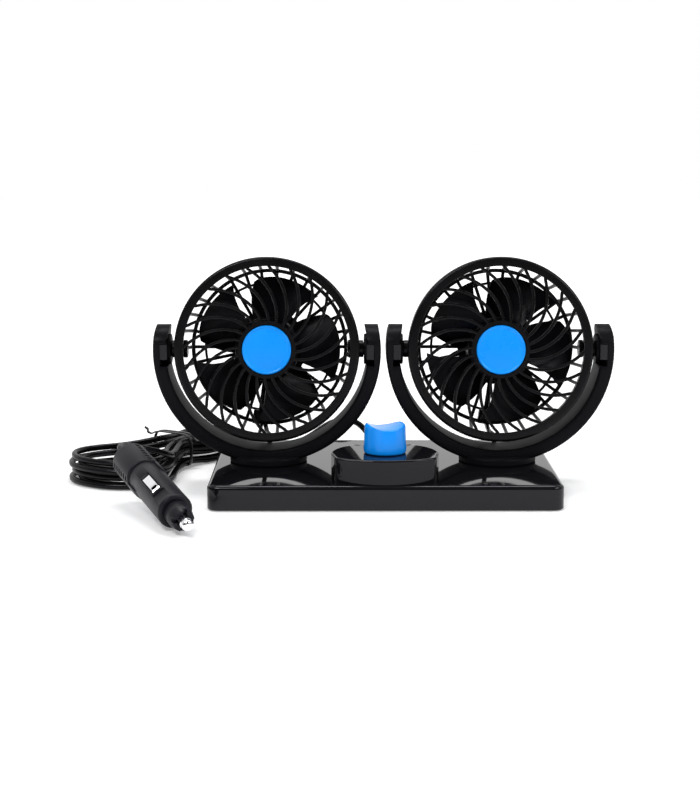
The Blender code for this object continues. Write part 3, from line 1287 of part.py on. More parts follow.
def plug_body(axis):
    """The front shell, bored for the fuse, with a window each side for its earth contacts."""
    radius = PLUG_BODY_DIAMETER / 2
    bore = PLUG_BORE_DIAMETER / 2
    rim = radius - PLUG_RIM_ROUND
    edge = arc((rim, -PLUG_RIM_ROUND), PLUG_RIM_ROUND, math.pi / 2, 0.0, 2)
    profile = [(0.0, -PLUG_BORE_DEPTH), (bore, -PLUG_BORE_DEPTH), (bore, 0.0)] + edge
    profile += [(radius, -PLUG_BODY_LENGTH), (0.0, -PLUG_BODY_LENGTH)]
    body = turned("plug_body", profile, ROUND_SIDES, parent=axis, colour=PLUG_BLACK, roughness=0.45)
    for side in (-1, 1):
        low = side * PLUG_WINDOW_FLOOR
        high = side * (radius + OVERRUN)
        middle = -(PLUG_WINDOW_FRONT + PLUG_WINDOW_LENGTH / 2)
        cut(body, box("plug_window", (PLUG_WINDOW_WIDTH, abs(high - low), PLUG_WINDOW_LENGTH),
                      (0.0, (high + low) / 2, middle), parent=axis))
    return smooth(body)


def plug_grip(axis):
    """The rear shell, a little fatter, with a ribbed strip along each side."""
    radius = PLUG_GRIP_DIAMETER / 2
    front = -PLUG_BODY_LENGTH - GAP
    back = -PLUG_BODY_LENGTH - PLUG_GRIP_LENGTH
    socket = PLUG_RELIEF_DIAMETER / 2 + GAP
    floor = back + PLUG_RELIEF_LENGTH - PLUG_RELIEF_OUTSIDE + GAP
    edge = arc((radius - PLUG_RIM_ROUND, back + PLUG_RIM_ROUND), PLUG_RIM_ROUND, 0.0,
               -math.pi / 2, 2)
    profile = [(0.0, front), (radius - PLUG_RIM_ROUND / 2, front), (radius, front
                                                                    - PLUG_RIM_ROUND / 2)]
    profile += edge + [(socket, back), (socket, floor), (0.0, floor)]
    grip = turned("plug_grip", profile, ROUND_SIDES, parent=axis, colour=PLUG_BLACK, roughness=0.55)
    pitch = (PLUG_GRIP_LENGTH - 2 * PLUG_RIM_ROUND) / PLUG_NOTCH_COUNT
    for side in (-1, 1):
        for number in range(PLUG_NOTCH_COUNT):
            z = front - PLUG_RIM_ROUND - pitch * (number + 0.5)
            cut(grip, box("grip_notch", (2 * PLUG_NOTCH_DEPTH, PLUG_NOTCH_WIDTH, pitch / 2),
                          (side * radius, 0.0, z), parent=axis))
    return grip


def plug_relief(axis):
    back = -PLUG_BODY_LENGTH - PLUG_GRIP_LENGTH
    outer = PLUG_RELIEF_DIAMETER / 2
    inside = PLUG_RELIEF_LENGTH - PLUG_RELIEF_OUTSIDE
    profile = [(0.0, back + inside), (outer, back + inside), (outer, back),
               (PLUG_RELIEF_TIP / 2, back - PLUG_RELIEF_OUTSIDE), (0.0, back - PLUG_RELIEF_OUTSIDE)]
    return turned("plug_strain_relief", profile, SMALL_SIDES, parent=axis, colour=RUBBER_BLACK,
                  roughness=0.6)


def plug_nose(axis):
    """The cap nut that closes the fuse chamber, bored for the tip."""
    bore = PLUG_TIP_DIAMETER / 2 + GAP
    profile = [(bore, PLUG_NOSE_LENGTH), (PLUG_NOSE_FRONT / 2, PLUG_NOSE_LENGTH),
               (PLUG_NOSE_BACK / 2, PLUG_NOSE_TAPER_START), (PLUG_NOSE_BACK / 2, GAP), (bore, GAP)]
    nose = turned("plug_nose", profile, ROUND_SIDES, closed=True, parent=axis, colour=PLUG_BLACK,
                  roughness=0.5)
    for turn in (0.0, math.pi / 2):
        cut(nose, box("nose_notch", (PLUG_NOSE_BACK, PLUG_NOSE_NOTCH, PLUG_NOSE_NOTCH),
                      (0.0, 0.0, PLUG_NOSE_LENGTH), Matrix.Rotation(turn, 4, "Z"), axis))
    return nose


def plug_tip(axis):
    """The centre contact, with a flange behind the nose that keeps it in."""
    radius = PLUG_TIP_DIAMETER / 2
    end = PLUG_NOSE_LENGTH + PLUG_TIP_OUT
    round_radius = radius * PLUG_TIP_ROUND_SHARE
    edge = arc((radius - round_radius, end - round_radius), round_radius, math.pi / 2, 0.0, 3)
    flange = PLUG_BORE_DIAMETER / 2 - GAP
    profile = [(0.0, end)] + edge + [(radius, 0.0), (flange, 0.0), (flange, -PLUG_TIP_FLANGE),
                                     (0.0, -PLUG_TIP_FLANGE)]
    return turned("plug_tip", profile, ROUND_SIDES, parent=axis, colour=STEEL, roughness=0.2, metallic=1.0)


def plug_fuse(axis):
    front = -PLUG_TIP_FLANGE - GAP
    return cylinder("plug_fuse", PLUG_FUSE_DIAMETER / 2, front - PLUG_FUSE_LENGTH, front,
                    sides=SMALL_SIDES, parent=axis, colour=CERAMIC, roughness=0.2)


def plug_spring(axis):
    """A coil spring between the fuse and the floor of the bore."""
    front = -PLUG_TIP_FLANGE - 2 * GAP - PLUG_FUSE_LENGTH - PLUG_SPRING_WIRE / 2
    back = -PLUG_BORE_DEPTH + GAP + PLUG_SPRING_WIRE / 2
    radius = PLUG_BORE_DIAMETER / 2 - GAP - PLUG_SPRING_WIRE / 2
    count = PLUG_SPRING_COILS * PLUG_SPRING_SIDES
    points = []
    for step in range(count + 1):
        angle = 2 * math.pi * step / PLUG_SPRING_SIDES
        points.append((radius * math.cos(angle), radius * math.sin(angle),
                       front + (back - front) * step / count))
    return tube("plug_spring", points, PLUG_SPRING_WIRE, 0, axis, colour=STEEL, roughness=0.3,
                metallic=1.0)


def plug_contact(name, side, axis):
    """A leaf in a window, bowed out past the shell."""
    radius = PLUG_BODY_DIAMETER / 2
    middle = -(PLUG_WINDOW_FRONT + PLUG_WINDOW_LENGTH / 2)
    length = PLUG_WINDOW_LENGTH - 2 * PLUG_CONTACT_GAP
    width = PLUG_WINDOW_WIDTH - 2 * PLUG_CONTACT_GAP
    low = radius - PLUG_CONTACT_DEPTH
    bow = PLUG_CONTACT_PROUD + PLUG_CONTACT_DEPTH - PLUG_CONTACT_THICKNESS
    outer = []
    inner = []
    for step in range(PLUG_CONTACT_STEPS + 1):
        share = step / PLUG_CONTACT_STEPS
        y = low + bow * math.sin(math.pi * share)
        z = middle - length / 2 + length * share
        outer.append((z, y + PLUG_CONTACT_THICKNESS))
        inner.append((z, y))
    outline = outer + inner[::-1]
    turn = Matrix(((0, 0, 1, 0), (0, side, 0, 0), (1, 0, 0, 0), (0, 0, 0, 1)))
    leaf = prism(name, outline, -width / 2, width / 2, turn, axis, colour=STEEL, roughness=0.2,
                 metallic=1.0)
    bm = bmesh.new()
    bm.from_mesh(leaf.data)
    bmesh.ops.recalc_face_normals(bm, faces=bm.faces)
    bm.to_mesh(leaf.data)
    bm.free()
    return leaf


def make_plug():
    axis = add_empty("plug_axis", (0.0, 0.0, 0.0))
    axis.matrix_world = plug_frame()
    plug_body(axis)
    plug_grip(axis)
    plug_relief(axis)
    plug_nose(axis)
    plug_tip(axis)
    plug_fuse(axis)
    plug_spring(axis)
    plug_contact("plug_upper_contact", 1, axis)
    plug_contact("plug_lower_contact", -1, axis)


remove_scene_objects()
PIECES = new_collection("dual_head_car_fan")
GUIDES = new_collection("guides")
make_base()
make_head("left", -1)
make_head("right", 1)
make_cord()
make_plug()
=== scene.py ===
"""Dual head car fan: fine pieces and materials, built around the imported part."""

import json
from math import asin, atan2, copysign, cos, pi, radians, sin, sqrt, tan

import bmesh
import bpy
from mathutils import Matrix, Vector


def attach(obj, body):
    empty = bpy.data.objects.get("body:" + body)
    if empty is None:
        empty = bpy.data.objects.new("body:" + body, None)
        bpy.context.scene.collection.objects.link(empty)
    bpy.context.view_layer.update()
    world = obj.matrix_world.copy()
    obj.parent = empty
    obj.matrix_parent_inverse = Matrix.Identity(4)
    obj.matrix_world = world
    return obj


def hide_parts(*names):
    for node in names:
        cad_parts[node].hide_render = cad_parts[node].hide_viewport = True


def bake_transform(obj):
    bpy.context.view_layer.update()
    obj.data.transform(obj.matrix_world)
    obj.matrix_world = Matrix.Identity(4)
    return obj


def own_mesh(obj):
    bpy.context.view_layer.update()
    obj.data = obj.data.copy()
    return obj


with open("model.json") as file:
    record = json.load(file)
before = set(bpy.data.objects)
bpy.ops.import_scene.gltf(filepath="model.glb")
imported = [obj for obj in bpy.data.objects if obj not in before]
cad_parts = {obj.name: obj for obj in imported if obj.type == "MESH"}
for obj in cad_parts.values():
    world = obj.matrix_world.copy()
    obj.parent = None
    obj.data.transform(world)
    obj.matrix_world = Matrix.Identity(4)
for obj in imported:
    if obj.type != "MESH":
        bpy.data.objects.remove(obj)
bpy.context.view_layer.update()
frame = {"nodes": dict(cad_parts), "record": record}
NODES = frame["nodes"]
SCENE = bpy.context.scene
TAU = 2 * pi
QUARTER = pi / 2
WHITE = (1.0, 1.0, 1.0, 1.0)
SCENE.view_settings.view_transform = "Standard"


# Camera, lamps, floor and backdrop

LOOK_DOWN, LOOK_ASIDE = 0.1673, 0.0043
FLOOR_Z = -0.0002


def put(name, data):
    """A new object with this data, in the scene."""
    obj = bpy.data.objects.new(name, data)
    SCENE.collection.objects.link(obj)
    return obj


def make_camera():
    data = bpy.data.cameras.new("camera")
    data.lens = 72.6
    data.clip_start = 0.05
    data.clip_end = 50.0
    camera = put("camera", data)
    camera.location = (-0.0252, -1.0005, 0.2235)
    camera.rotation_euler = (QUARTER - LOOK_DOWN, 0.0, -LOOK_ASIDE)
    SCENE.camera = camera


def node_tree(owner):
    owner.use_nodes = True
    owner.node_tree.nodes.clear()
    return owner.node_tree


def add(tree, kind, links=None, **values):
    """A node with its values and settings, linked from outputs, or from nodes' first outputs."""
    made = tree.nodes.new(f"ShaderNode{kind}")
    for key, value in values.items():
        name = key.replace("_", " ")
        if name in made.inputs:
            made.inputs[name].default_value = value
        else:
            setattr(made, key, value)
    for key, source in (links or {}).items():
        output = source.outputs[0] if isinstance(source, bpy.types.Node) else source
        tree.links.new(output, made.inputs[key])
    return made


def either(tree, first, second):
    """The larger of two outputs."""
    return add(tree, "Math", {0: first, 1: second}, operation="MAXIMUM")


def mixed(tree, share, first, second):
    """Two shaders mixed by an output."""
    return add(tree, "MixShader", {0: share, 1: first, 2: second})


def make_lamp(name, place, target, width, power):
    """A soft lamp that faces its target."""
    data = bpy.data.lights.new(name, "AREA")
    data.shape = "RECTANGLE"
    data.size = width
    data.energy = power
    lamp = put(name, data)
    lamp.location = place
    lamp.rotation_euler = (Vector(target) - Vector(place)).to_track_quat("-Z", "Y").to_euler()


def make_world():
    """White where it is seen, dimmer towards the front where it is mirrored, soft as a light."""
    world = bpy.data.worlds.new("studio")
    SCENE.world = world
    tree = node_tree(world)
    path = add(tree, "LightPath").outputs
    place = add(tree, "TexCoord").outputs["Generated"]
    axes = add(tree, "SeparateXYZ", {0: place})
    behind = add(tree, "MapRange", {"Value": axes.outputs["Y"]},
                 From_Min=-0.5, From_Max=0.6, To_Min=0.1, To_Max=1.0)
    soft = add(tree, "Background", Color=(0.95, 0.97, 1.0, 1.0), Strength=0.45)
    mirrored = add(tree, "Background", {"Strength": behind}, Color=WHITE)
    white = add(tree, "Background", Color=WHITE, Strength=1.0)
    gloss = mixed(tree, path["Is Glossy Ray"], soft, mirrored)
    seen = either(tree, path["Is Camera Ray"], path["Is Transmission Ray"])
    add(tree, "OutputWorld", {0: mixed(tree, seen, gloss, white)})


def make_floor():
    """A pale floor that takes shadows; seen or mirrored it also glows, more further away."""
    bm = bmesh.new()
    bmesh.ops.create_grid(bm, x_segments=2, y_segments=2, size=4.0)
    mesh = bpy.data.meshes.new("floor")
    bm.to_mesh(mesh)
    bm.free()
    floor = put("floor", mesh)
    floor.location.z = FLOOR_Z
    paint = bpy.data.materials.new("floor")
    tree = node_tree(paint)
    path = add(tree, "LightPath").outputs
    place = add(tree, "TexCoord").outputs["Object"]
    away = add(tree, "VectorMath", {0: place}, operation="LENGTH").outputs["Value"]
    spread = add(tree, "MapRange", {"Value": away},
                 From_Min=0.25, From_Max=1.6, To_Min=0.22, To_Max=1.0)
    cool = add(tree, "BsdfDiffuse", Color=(0.86, 0.86, 0.86, 1.0))
    glow = add(tree, "Emission", {"Strength": spread}, Color=WHITE)
    both = add(tree, "AddShader", {0: cool, 1: glow})
    bounced = either(tree, path["Is Glossy Ray"], path["Is Transmission Ray"])
    seen = either(tree, path["Is Camera Ray"], bounced)
    add(tree, "OutputMaterial", {0: mixed(tree, seen, cool, both)})
    mesh.materials.append(paint)


make_camera()
make_world()
make_floor()
make_lamp("key", (-0.55, -0.75, 1.05), (0.0, 0.0, 0.05), 0.7, 9.0)
make_lamp("fill", (0.8, -0.6, 0.7), (0.0, 0.0, 0.05), 0.6, 5.0)
make_lamp("top", (0.0, 0.25, 1.2), (0.0, 0.0, 0.0), 0.9, 8.0)


# Materials

PLUM = (0.97, 0.94, 1.0, 1.0)
DUST = (0.35, 0.35, 0.36, 1.0)


def finish(name, colour, rough, metal=0.0, grain=900.0, depth=0.02, patch=40.0,
           tone=0.12, rough_swing=0.06, scratch=0.0, dust=0.0, shine=0.5, matte=0.0):
    """A moulded, rubber or metal finish: uneven tone and gloss, a fine grain, and faint wear."""
    paint = bpy.data.materials.new(name)
    tree = node_tree(paint)
    place = add(tree, "TexCoord").outputs["Object"]
    broad = add(tree, "TexNoise", {"Vector": place}, Scale=patch, Detail=4.0, Roughness=0.6)
    ramp = add(tree, "ValToRGB", {"Fac": broad})
    low, high = ramp.color_ramp.elements
    low.position, high.position = 0.3, 0.7
    low.color = (*(c * (1 - tone) for c in colour), 1.0)
    high.color = (*(min(1.0, c * (1 + tone) + 0.001) for c in colour), 1.0)
    hue = ramp
    if dust:
        specks = add(tree, "TexNoise", {"Vector": place}, Scale=1400.0, Detail=2.0)
        keep = add(tree, "MapRange", {"Value": specks},
                   From_Min=0.66, From_Max=0.78, To_Min=0.0, To_Max=dust)
        dusty = add(tree, "Mix", {"Factor": keep, 6: hue}, data_type="RGBA")
        dusty.inputs[7].default_value = DUST
        hue = dusty.outputs[2]
    swing = add(tree, "MapRange", {"Value": broad}, From_Min=0.25, From_Max=0.75,
                To_Min=max(0.02, rough - rough_swing), To_Max=min(1.0, rough + rough_swing))
    fine = add(tree, "TexNoise", {"Vector": place}, Scale=grain, Detail=3.0, Roughness=0.55)
    bump = add(tree, "Bump", {"Height": fine}, Strength=depth, Distance=0.0004)
    if scratch:
        stretch = add(tree, "Mapping", {"Vector": place}, Scale=(60.0, 60.0, 2600.0))
        lines = add(tree, "TexNoise", {"Vector": stretch}, Scale=1.0, Detail=2.0)
        bump = add(tree, "Bump", {"Height": lines, "Normal": bump},
                   Strength=scratch, Distance=0.0002)
    links = {"Base Color": hue, "Roughness": swing, "Normal": bump}
    shader = add(tree, "BsdfPrincipled", links, Metallic=metal,
                 Specular_IOR_Level=shine, Specular_Tint=WHITE if metal else PLUM)
    dull = add(tree, "BsdfDiffuse", {"Color": hue}, Roughness=0.6)
    blend = add(tree, "MixShader", {1: shader, 2: dull}, Fac=matte)
    add(tree, "OutputMaterial", {0: blend})
    return paint


LOOKS = {name: finish(name, colour, rough, **more) for name, colour, rough, more in (
    ("gloss_black", (0.004, 0.0038, 0.005), 0.045, dict(
        patch=14.0, tone=0.1, rough_swing=0.02, grain=300.0, depth=0.006, dust=0.01,
        shine=0.25)),
    ("pod_black", (0.004, 0.004, 0.005), 0.06, dict(
        patch=20.0, rough_swing=0.02, grain=400.0, depth=0.006, shine=0.22)),
    ("yoke_black", (0.0046, 0.0044, 0.0056), 0.36, dict(
        depth=0.03, dust=0.01, shine=0.2, matte=0.72)),
    ("block_black", (0.016, 0.016, 0.017), 0.5, dict(
        grain=1500.0, depth=0.05, shine=0.3, matte=0.4)),
    ("dark_plate", (0.02, 0.02, 0.022), 0.6, dict(grain=1500.0, depth=0.25)),
    ("satin_black", (0.003, 0.003, 0.0034), 0.28, dict(
        grain=1200.0, depth=0.04, dust=0.01, shine=0.16, matte=0.2)),
    ("cage_black", (0.003, 0.003, 0.0034), 0.3, dict(
        grain=1200.0, depth=0.05, shine=0.16, matte=0.15)),
    ("blade_black", (0.001, 0.0009, 0.0018), 0.3, dict(grain=500.0, shine=0.09, matte=0.25)),
    ("motor_can", (0.008, 0.008, 0.009), 0.42, dict(metal=0.3, grain=700.0, depth=0.05)),
    ("blue_knob", (0.003, 0.27, 0.9), 0.2, dict(
        tone=0.04, patch=60.0, depth=0.015, shine=0.25)),
    ("blue_cap", (0.003, 0.28, 0.9), 0.3, dict(tone=0.04, patch=50.0, shine=0.2)),
    ("plug_black", (0.0056, 0.0054, 0.0078), 0.4, dict(
        grain=2200.0, depth=0.15, dust=0.01, shine=0.25, matte=0.2)),
    ("black_rubber", (0.003, 0.003, 0.0036), 0.2, dict(
        grain=1600.0, depth=0.03, shine=0.3, matte=0.45)),
    ("tie_wire", (0.004, 0.004, 0.0045), 0.35, dict(grain=1200.0, depth=0.1, shine=0.3)),
    ("steel", (0.5, 0.5, 0.51), 0.32, dict(metal=1.0, tone=0.08, scratch=0.15)),
    ("bright_contact", (0.86, 0.86, 0.88), 0.12, dict(
        metal=1.0, tone=0.04, patch=120.0, rough_swing=0.04, scratch=0.05)),
    ("switch_body", (0.03, 0.03, 0.03), 0.55, dict(grain=1500.0, depth=0.2)),
    ("pale_ceramic", (0.7, 0.68, 0.62), 0.75, dict(grain=800.0, depth=0.4)),
    ("white_washer", (0.72, 0.7, 0.66), 0.45, dict(depth=0.05)),
    ("fuse_glass", (0.75, 0.74, 0.7), 0.08, dict(grain=200.0, depth=0.01)),
    ("dial_grey", (0.045, 0.045, 0.05), 0.6, dict(grain=1500.0, depth=0.05)),
)}


def dress_cad_nodes():
    """Every node that stays in view gets the finish of its slot."""
    for part in frame["record"]["subparts"]:
        node = NODES[part["node"]]
        node.data.materials.clear()
        node.data.materials.append(LOOKS[part["material_slot"]])


dress_cad_nodes()


# Mesh helpers

SWIVEL_X = 0.0725
HEAD_Y = 0.0044
PIVOT_Z = 0.0865
HEAD_TILT = radians(85)


def at(x, y, z, turn=0.0, axis="X"):
    """A place at (x, y, z), turned there round one axis."""
    return Matrix.Translation((x, y, z)) @ Matrix.Rotation(turn, 4, axis)


def axes_at(point, x, y, z):
    """A place at a point, with the axes x, y and z."""
    return Matrix.Translation(point) @ Matrix((x, y, z)).transposed().to_4x4()


def polar(radius, angle, z=0.0):
    return Vector((radius * cos(angle), radius * sin(angle), z))


def swivel_frame(side):
    return at(side * SWIVEL_X, HEAD_Y, 0.0)


def head_frame(side):
    """The head's own frame: Z points out of its front, Y up."""
    return at(side * SWIVEL_X, HEAD_Y, PIVOT_Z, HEAD_TILT)


def sideways(way, z=0.0):
    """A place whose Z axis points along X, one way or the other."""
    return at(0.0, 0.0, z, way * QUARTER, "Y")


def obj_from(bm, name, look, body, place=None, angle=35, nodes=()):
    """A finished piece from a bmesh: placed, smoothed by angle, dressed, and riding on its body."""
    if place is not None:
        bm.transform(place)
    bm.normal_update()
    limit = radians(angle)
    for face in bm.faces:
        face.smooth = True
    for edge in bm.edges:
        edge.smooth = len(edge.link_faces) == 2 and edge.calc_face_angle(0.0) < limit
    return settle(as_mesh(bm, name), name, look, body, nodes)


def settle(data, name, look, body, nodes=()):
    """An object of this data, with its look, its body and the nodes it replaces."""
    data.materials.append(LOOKS[look])
    obj = put(name, data)
    if body:
        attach(obj, body)
    if nodes:
        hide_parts(*([nodes] if isinstance(nodes, str) else nodes))
    return obj


def arc(centre, radius, first, last, steps):
    return [(centre[0] + radius * cos(first + (last - first) * i / steps),
             centre[1] + radius * sin(first + (last - first) * i / steps))
            for i in range(steps + 1)]


def rounded(outline, size, steps):
    """The corners of an open profile of (r, z) points rounded, the two ends kept."""
    result = [outline[0]]
    for before, here, after in zip(outline, outline[1:], outline[2:]):
        a, b, c = Vector(before), Vector(here), Vector(after)
        u, v = (a - b).normalized(), (c - b).normalized()
        half = u.angle(v) / 2
        if half > radians(88):
            result.append(here)
            continue
        reach = min(size / tan(half), 0.49 * (a - b).length, 0.49 * (c - b).length)
        middle = b + (u + v).normalized() * (reach * tan(half) / sin(half))
        start, end = b + u * reach - middle, b + v * reach - middle
        turn = start.angle_signed(end)
        for i in range(steps + 1):
            angle = -turn * i / steps
            cosine, sine = cos(angle), sin(angle)
            result.append((middle.x + start.x * cosine - start.y * sine,
                           middle.y + start.x * sine + start.y * cosine))
    return [*result, outline[-1]]


def outward(bm):
    """The bmesh with its faces turned to the outside."""
    bmesh.ops.recalc_face_normals(bm, faces=bm.faces)
    return bm


def lathe(bm, profile, sides=96, place=None, closed=False):
    """A profile of (radius, height) points swept round Z; a closed one joins its own ends."""
    rings = []
    for radius, height in profile:
        if radius < 1e-7:
            rings.append([bm.verts.new((0.0, 0.0, height))])
        else:
            rings.append([bm.verts.new(polar(radius, TAU * i / sides, height))
                          for i in range(sides)])
    for low, high in zip(rings, rings[1:] + rings[:1] if closed else rings[1:]):
        if len(low) == len(high) == 1:
            continue
        for i in range(sides):
            j = (i + 1) % sides
            if len(low) == 1:
                bm.faces.new((low[0], high[j], high[i]))
            elif len(high) == 1:
                bm.faces.new((low[i], low[j], high[0]))
            else:
                bm.faces.new((low[i], low[j], high[j], high[i]))
    if place is not None:
        bmesh.ops.transform(bm, matrix=place, verts=[v for ring in rings for v in ring])
    return bm


def loft(bm, rings):
    """Rings of the same count of points joined in order, with both ends closed."""
    rings = [[bm.verts.new(point) for point in ring] for ring in rings]
    count = len(rings[0])
    for low, high in zip(rings, rings[1:]):
        for i in range(count):
            j = (i + 1) % count
            bm.faces.new((low[i], low[j], high[j], high[i]))
    bm.faces.new(rings[0][::-1])
    bm.faces.new(rings[-1])
    return bm


def sweep(bm, places, section):
    """A closed section carried along places, each a matrix whose X and Y hold the section."""
    return loft(bm, [[place @ Vector((x, y, 0.0)) for x, y in section] for place in places])


def along(points, up):
    """Places along a line of points, each with Z along the line and X as near up as it can be."""
    places = []
    for i, point in enumerate(points):
        before, after = points[max(i - 1, 0)], points[min(i + 1, len(points) - 1)]
        z = (after - before).normalized()
        y = z.cross(Vector(up)).normalized()
        places.append(axes_at(point, y.cross(z), y, z))
    return places


def round_rect(width, height, radius, steps):
    """A closed rounded rectangle about the origin, as (x, y) points, anticlockwise."""
    w, h = width / 2 - radius, height / 2 - radius
    points = []
    for n, corner in enumerate(((w, h), (-w, h), (-w, -h), (w, -h))):
        points += arc(corner, radius, n * QUARTER, (n + 1) * QUARTER, steps)
    return points


def as_mesh(bm, name="temp"):
    mesh = bpy.data.meshes.new(name)
    bm.normal_update()
    bm.to_mesh(mesh)
    bm.free()
    return mesh


def baked(obj, *others):
    """The mesh of an object after its modifiers, as a bmesh; the objects are taken away."""
    graph = bpy.context.evaluated_depsgraph_get()
    graph.update()
    made = bmesh.new()
    made.from_mesh(obj.evaluated_get(graph).to_mesh())
    for used in (obj, *others):
        data = used.data
        bpy.data.objects.remove(used)
        bpy.data.meshes.remove(data)
    return made


def carve(bm, *cutters, operation="DIFFERENCE"):
    """The bmesh with the cutters' shapes taken out of it, or what it shares with them."""
    base = put("temp_base", as_mesh(bm))
    others = []
    for cutter in cutters:
        others.append(put("temp_cutter", as_mesh(cutter)))
        step = base.modifiers.new("carve", "BOOLEAN")
        step.operation = operation
        step.solver = "EXACT"
        step.object = others[-1]
    return baked(base, *others)


def eased_edges(bm, width, steps=2, angle=40):
    """The sharp edges of a bmesh rounded with the bevel modifier."""
    obj = put("temp_soft", as_mesh(bm))
    step = obj.modifiers.new("edges", "BEVEL")
    step.width = width
    step.segments = steps
    step.limit_method = "ANGLE"
    step.angle_limit = radians(angle)
    return baked(obj)


def solid_box(size, centre, turn=0.0):
    """A box of this size, turned round Z at its centre."""
    bm = bmesh.new()
    place = at(*centre, turn, "Z") @ Matrix.Diagonal((*size, 1.0))
    bmesh.ops.create_cube(bm, size=1.0, matrix=place)
    return bm


def solid_round(profile, sides=96, place=None):
    return outward(lathe(bmesh.new(), profile, sides, place))


def drill(radius, low, high, sides, place=None):
    """A round cutter from one height to another."""
    return solid_round([(0.0, low), (radius, low), (radius, high), (0.0, high)], sides, place)


def slab(outline, low, high, place=None):
    """An outline in X and Y carried from one height to another."""
    rings = [[Vector((x, y, height)) for x, y in outline] for height in (low, high)]
    bm = outward(loft(bmesh.new(), rings))
    if place is not None:
        bm.transform(place)
    return bm


def bridge_in(target, source):
    """The source's mesh added to the target's."""
    mesh = as_mesh(source)
    target.from_mesh(mesh)
    bpy.data.meshes.remove(mesh)


# Cord: gland, tail, tied hank and lead, one unbroken cord, then its plug

CORD = 0.004
TIE_FRAME = at(-0.139, 0.06, 0.0, radians(57.3), "Z")
TURNS, LAYERS, PER_TURN = 6, 4, 24
PER_LAYER = TURNS / LAYERS
TAIL = [(-0.0085, 0.106, 0.0135), (-0.019, 0.111, 0.0215), (-0.033, 0.105, 0.021),
        (-0.05, 0.096, 0.012), (-0.068, 0.088, 0.005), (-0.084, 0.083, 0.0024),
        (-0.097, 0.08, 0.0024)]
LEAD = [(-0.1343, 0.011, 0.0172), (-0.1385, 0.0005, 0.0206), (-0.148, -0.0075, 0.0246),
        (-0.1605, -0.016, 0.0286)]
GLAND = Vector((-0.006, 0.0728, 0.00795))
GLAND_LENGTH = 0.021
WALL_FACE = 0.0725
PLUG_TIP = Vector((-0.11, -0.138, 0.0072))
PLUG_REAR = Vector((-0.154, -0.045, 0.0257))
PLUG_AXIS = (PLUG_TIP - PLUG_REAR).normalized()
TIP_REACH, TIP_TRAVEL = 0.0215, 0.0035
FERRULE, CORD_ENTRY, CORD_BEHIND = -0.045, -0.095, -0.103


def plug_frame():
    """The plug's own frame: Z out of its tip, the upper window to Y, origin at its front rim."""
    window = Vector((-0.51, -0.4, 0.76))
    window = (window - PLUG_AXIS * window.dot(PLUG_AXIS)).normalized()
    return axes_at(PLUG_TIP - PLUG_AXIS * TIP_REACH, window.cross(PLUG_AXIS), window, PLUG_AXIS)


def eased(share):
    share = min(max(share, 0.0), 1.0)
    return share * share * (3 - 2 * share)


def hank_outline(angle):
    """A point of the hank's outline: a long wide lobe and a short narrow one, with a waist."""
    cosine, sine = cos(angle), sin(angle)
    length, lobe = (0.057, 0.023) if cosine > 0 else (0.083, 0.05)
    waist = 0.0115
    spread = waist + (lobe - waist) * eased(abs(cosine) / 0.85)
    return Vector((length * cosine, spread * copysign(abs(sine) ** 0.85, sine)))


def hank_point(turns):
    """A point of the hank: it spirals in and out, and climbs a layer at each turn of the spiral."""
    angle = -QUARTER - TAU * turns
    wound = min(max(turns, 0.0), TURNS)
    phase = wound % (2 * PER_LAYER)
    inset = 0.0057 * min(phase, 2 * PER_LAYER - phase)
    layer = sum(min(max(2 * (wound - n * PER_LAYER) + 0.5, 0.0), 1.0) for n in range(1, LAYERS))
    nudge = radians(1)
    run = (hank_outline(angle - nudge) - hank_outline(angle + nudge)).normalized()
    place = hank_outline(angle) + Vector((run.y, -run.x)) * inset
    lift = 0.0016 * (1 - eased(abs(cos(angle)) / 0.35))
    return Vector((*place, CORD / 2 + 0.0003 + lift + layer * 0.0047))


def hank_points():
    count = TURNS * PER_TURN
    first, last = -0.05, TURNS + 0.05
    return [TIE_FRAME @ hank_point(first + (last - first) * i / count) for i in range(count + 1)]


def through(points, spacing):
    """Evenly spaced points on a smooth curve; the first and last stretches stay straight."""
    places = [Vector(point) for point in points]
    fine = [places[0]]
    for n in range(1, len(places) - 2):
        start, end = places[n], places[n + 1]
        chord = (end - start).length
        leave = (end - places[n - 1]).normalized()
        arrive = (places[n + 2] - start).normalized()
        if n == 1:
            leave = (start - places[0]).normalized()
        if n == len(places) - 3:
            arrive = (places[-1] - end).normalized()
        for step in range(24):
            t = step / 24
            fine.append(start * (2 * t ** 3 - 3 * t * t + 1) + end * (3 * t * t - 2 * t ** 3)
                        + leave * (chord * (t ** 3 - 2 * t * t + t))
                        + arrive * (chord * (t ** 3 - t * t)))
    return evened([*fine, *places[-2:]], spacing)


def evened(points, spacing):
    """Points at an even spacing along a line of straight pieces."""
    lengths = [0.0]
    for a, b in zip(points, points[1:]):
        lengths.append(lengths[-1] + (b - a).length)
    count = max(2, round(lengths[-1] / spacing))
    result, n = [], 0
    for i in range(count + 1):
        wanted = lengths[-1] * i / count
        while n < len(lengths) - 2 and lengths[n + 1] < wanted:
            n += 1
        share = (wanted - lengths[n]) / max(lengths[n + 1] - lengths[n], 1e-9)
        result.append(points[n].lerp(points[n + 1], share))
    return result


def eased_folds(points, limit=3 * CORD, rounds=4):
    """The line with each fold that is tighter than the limit drawn in a little."""
    for _ in range(rounds):
        drawn = list(points)
        for n in range(3, len(points) - 3):
            first, second = points[n] - points[n - 1], points[n + 1] - points[n]
            if (first.length + second.length) / 2 < limit * first.angle(second):
                drawn[n] = points[n].lerp((points[n - 1] + points[n + 1]) / 2, 0.5)
        points = drawn
    return points


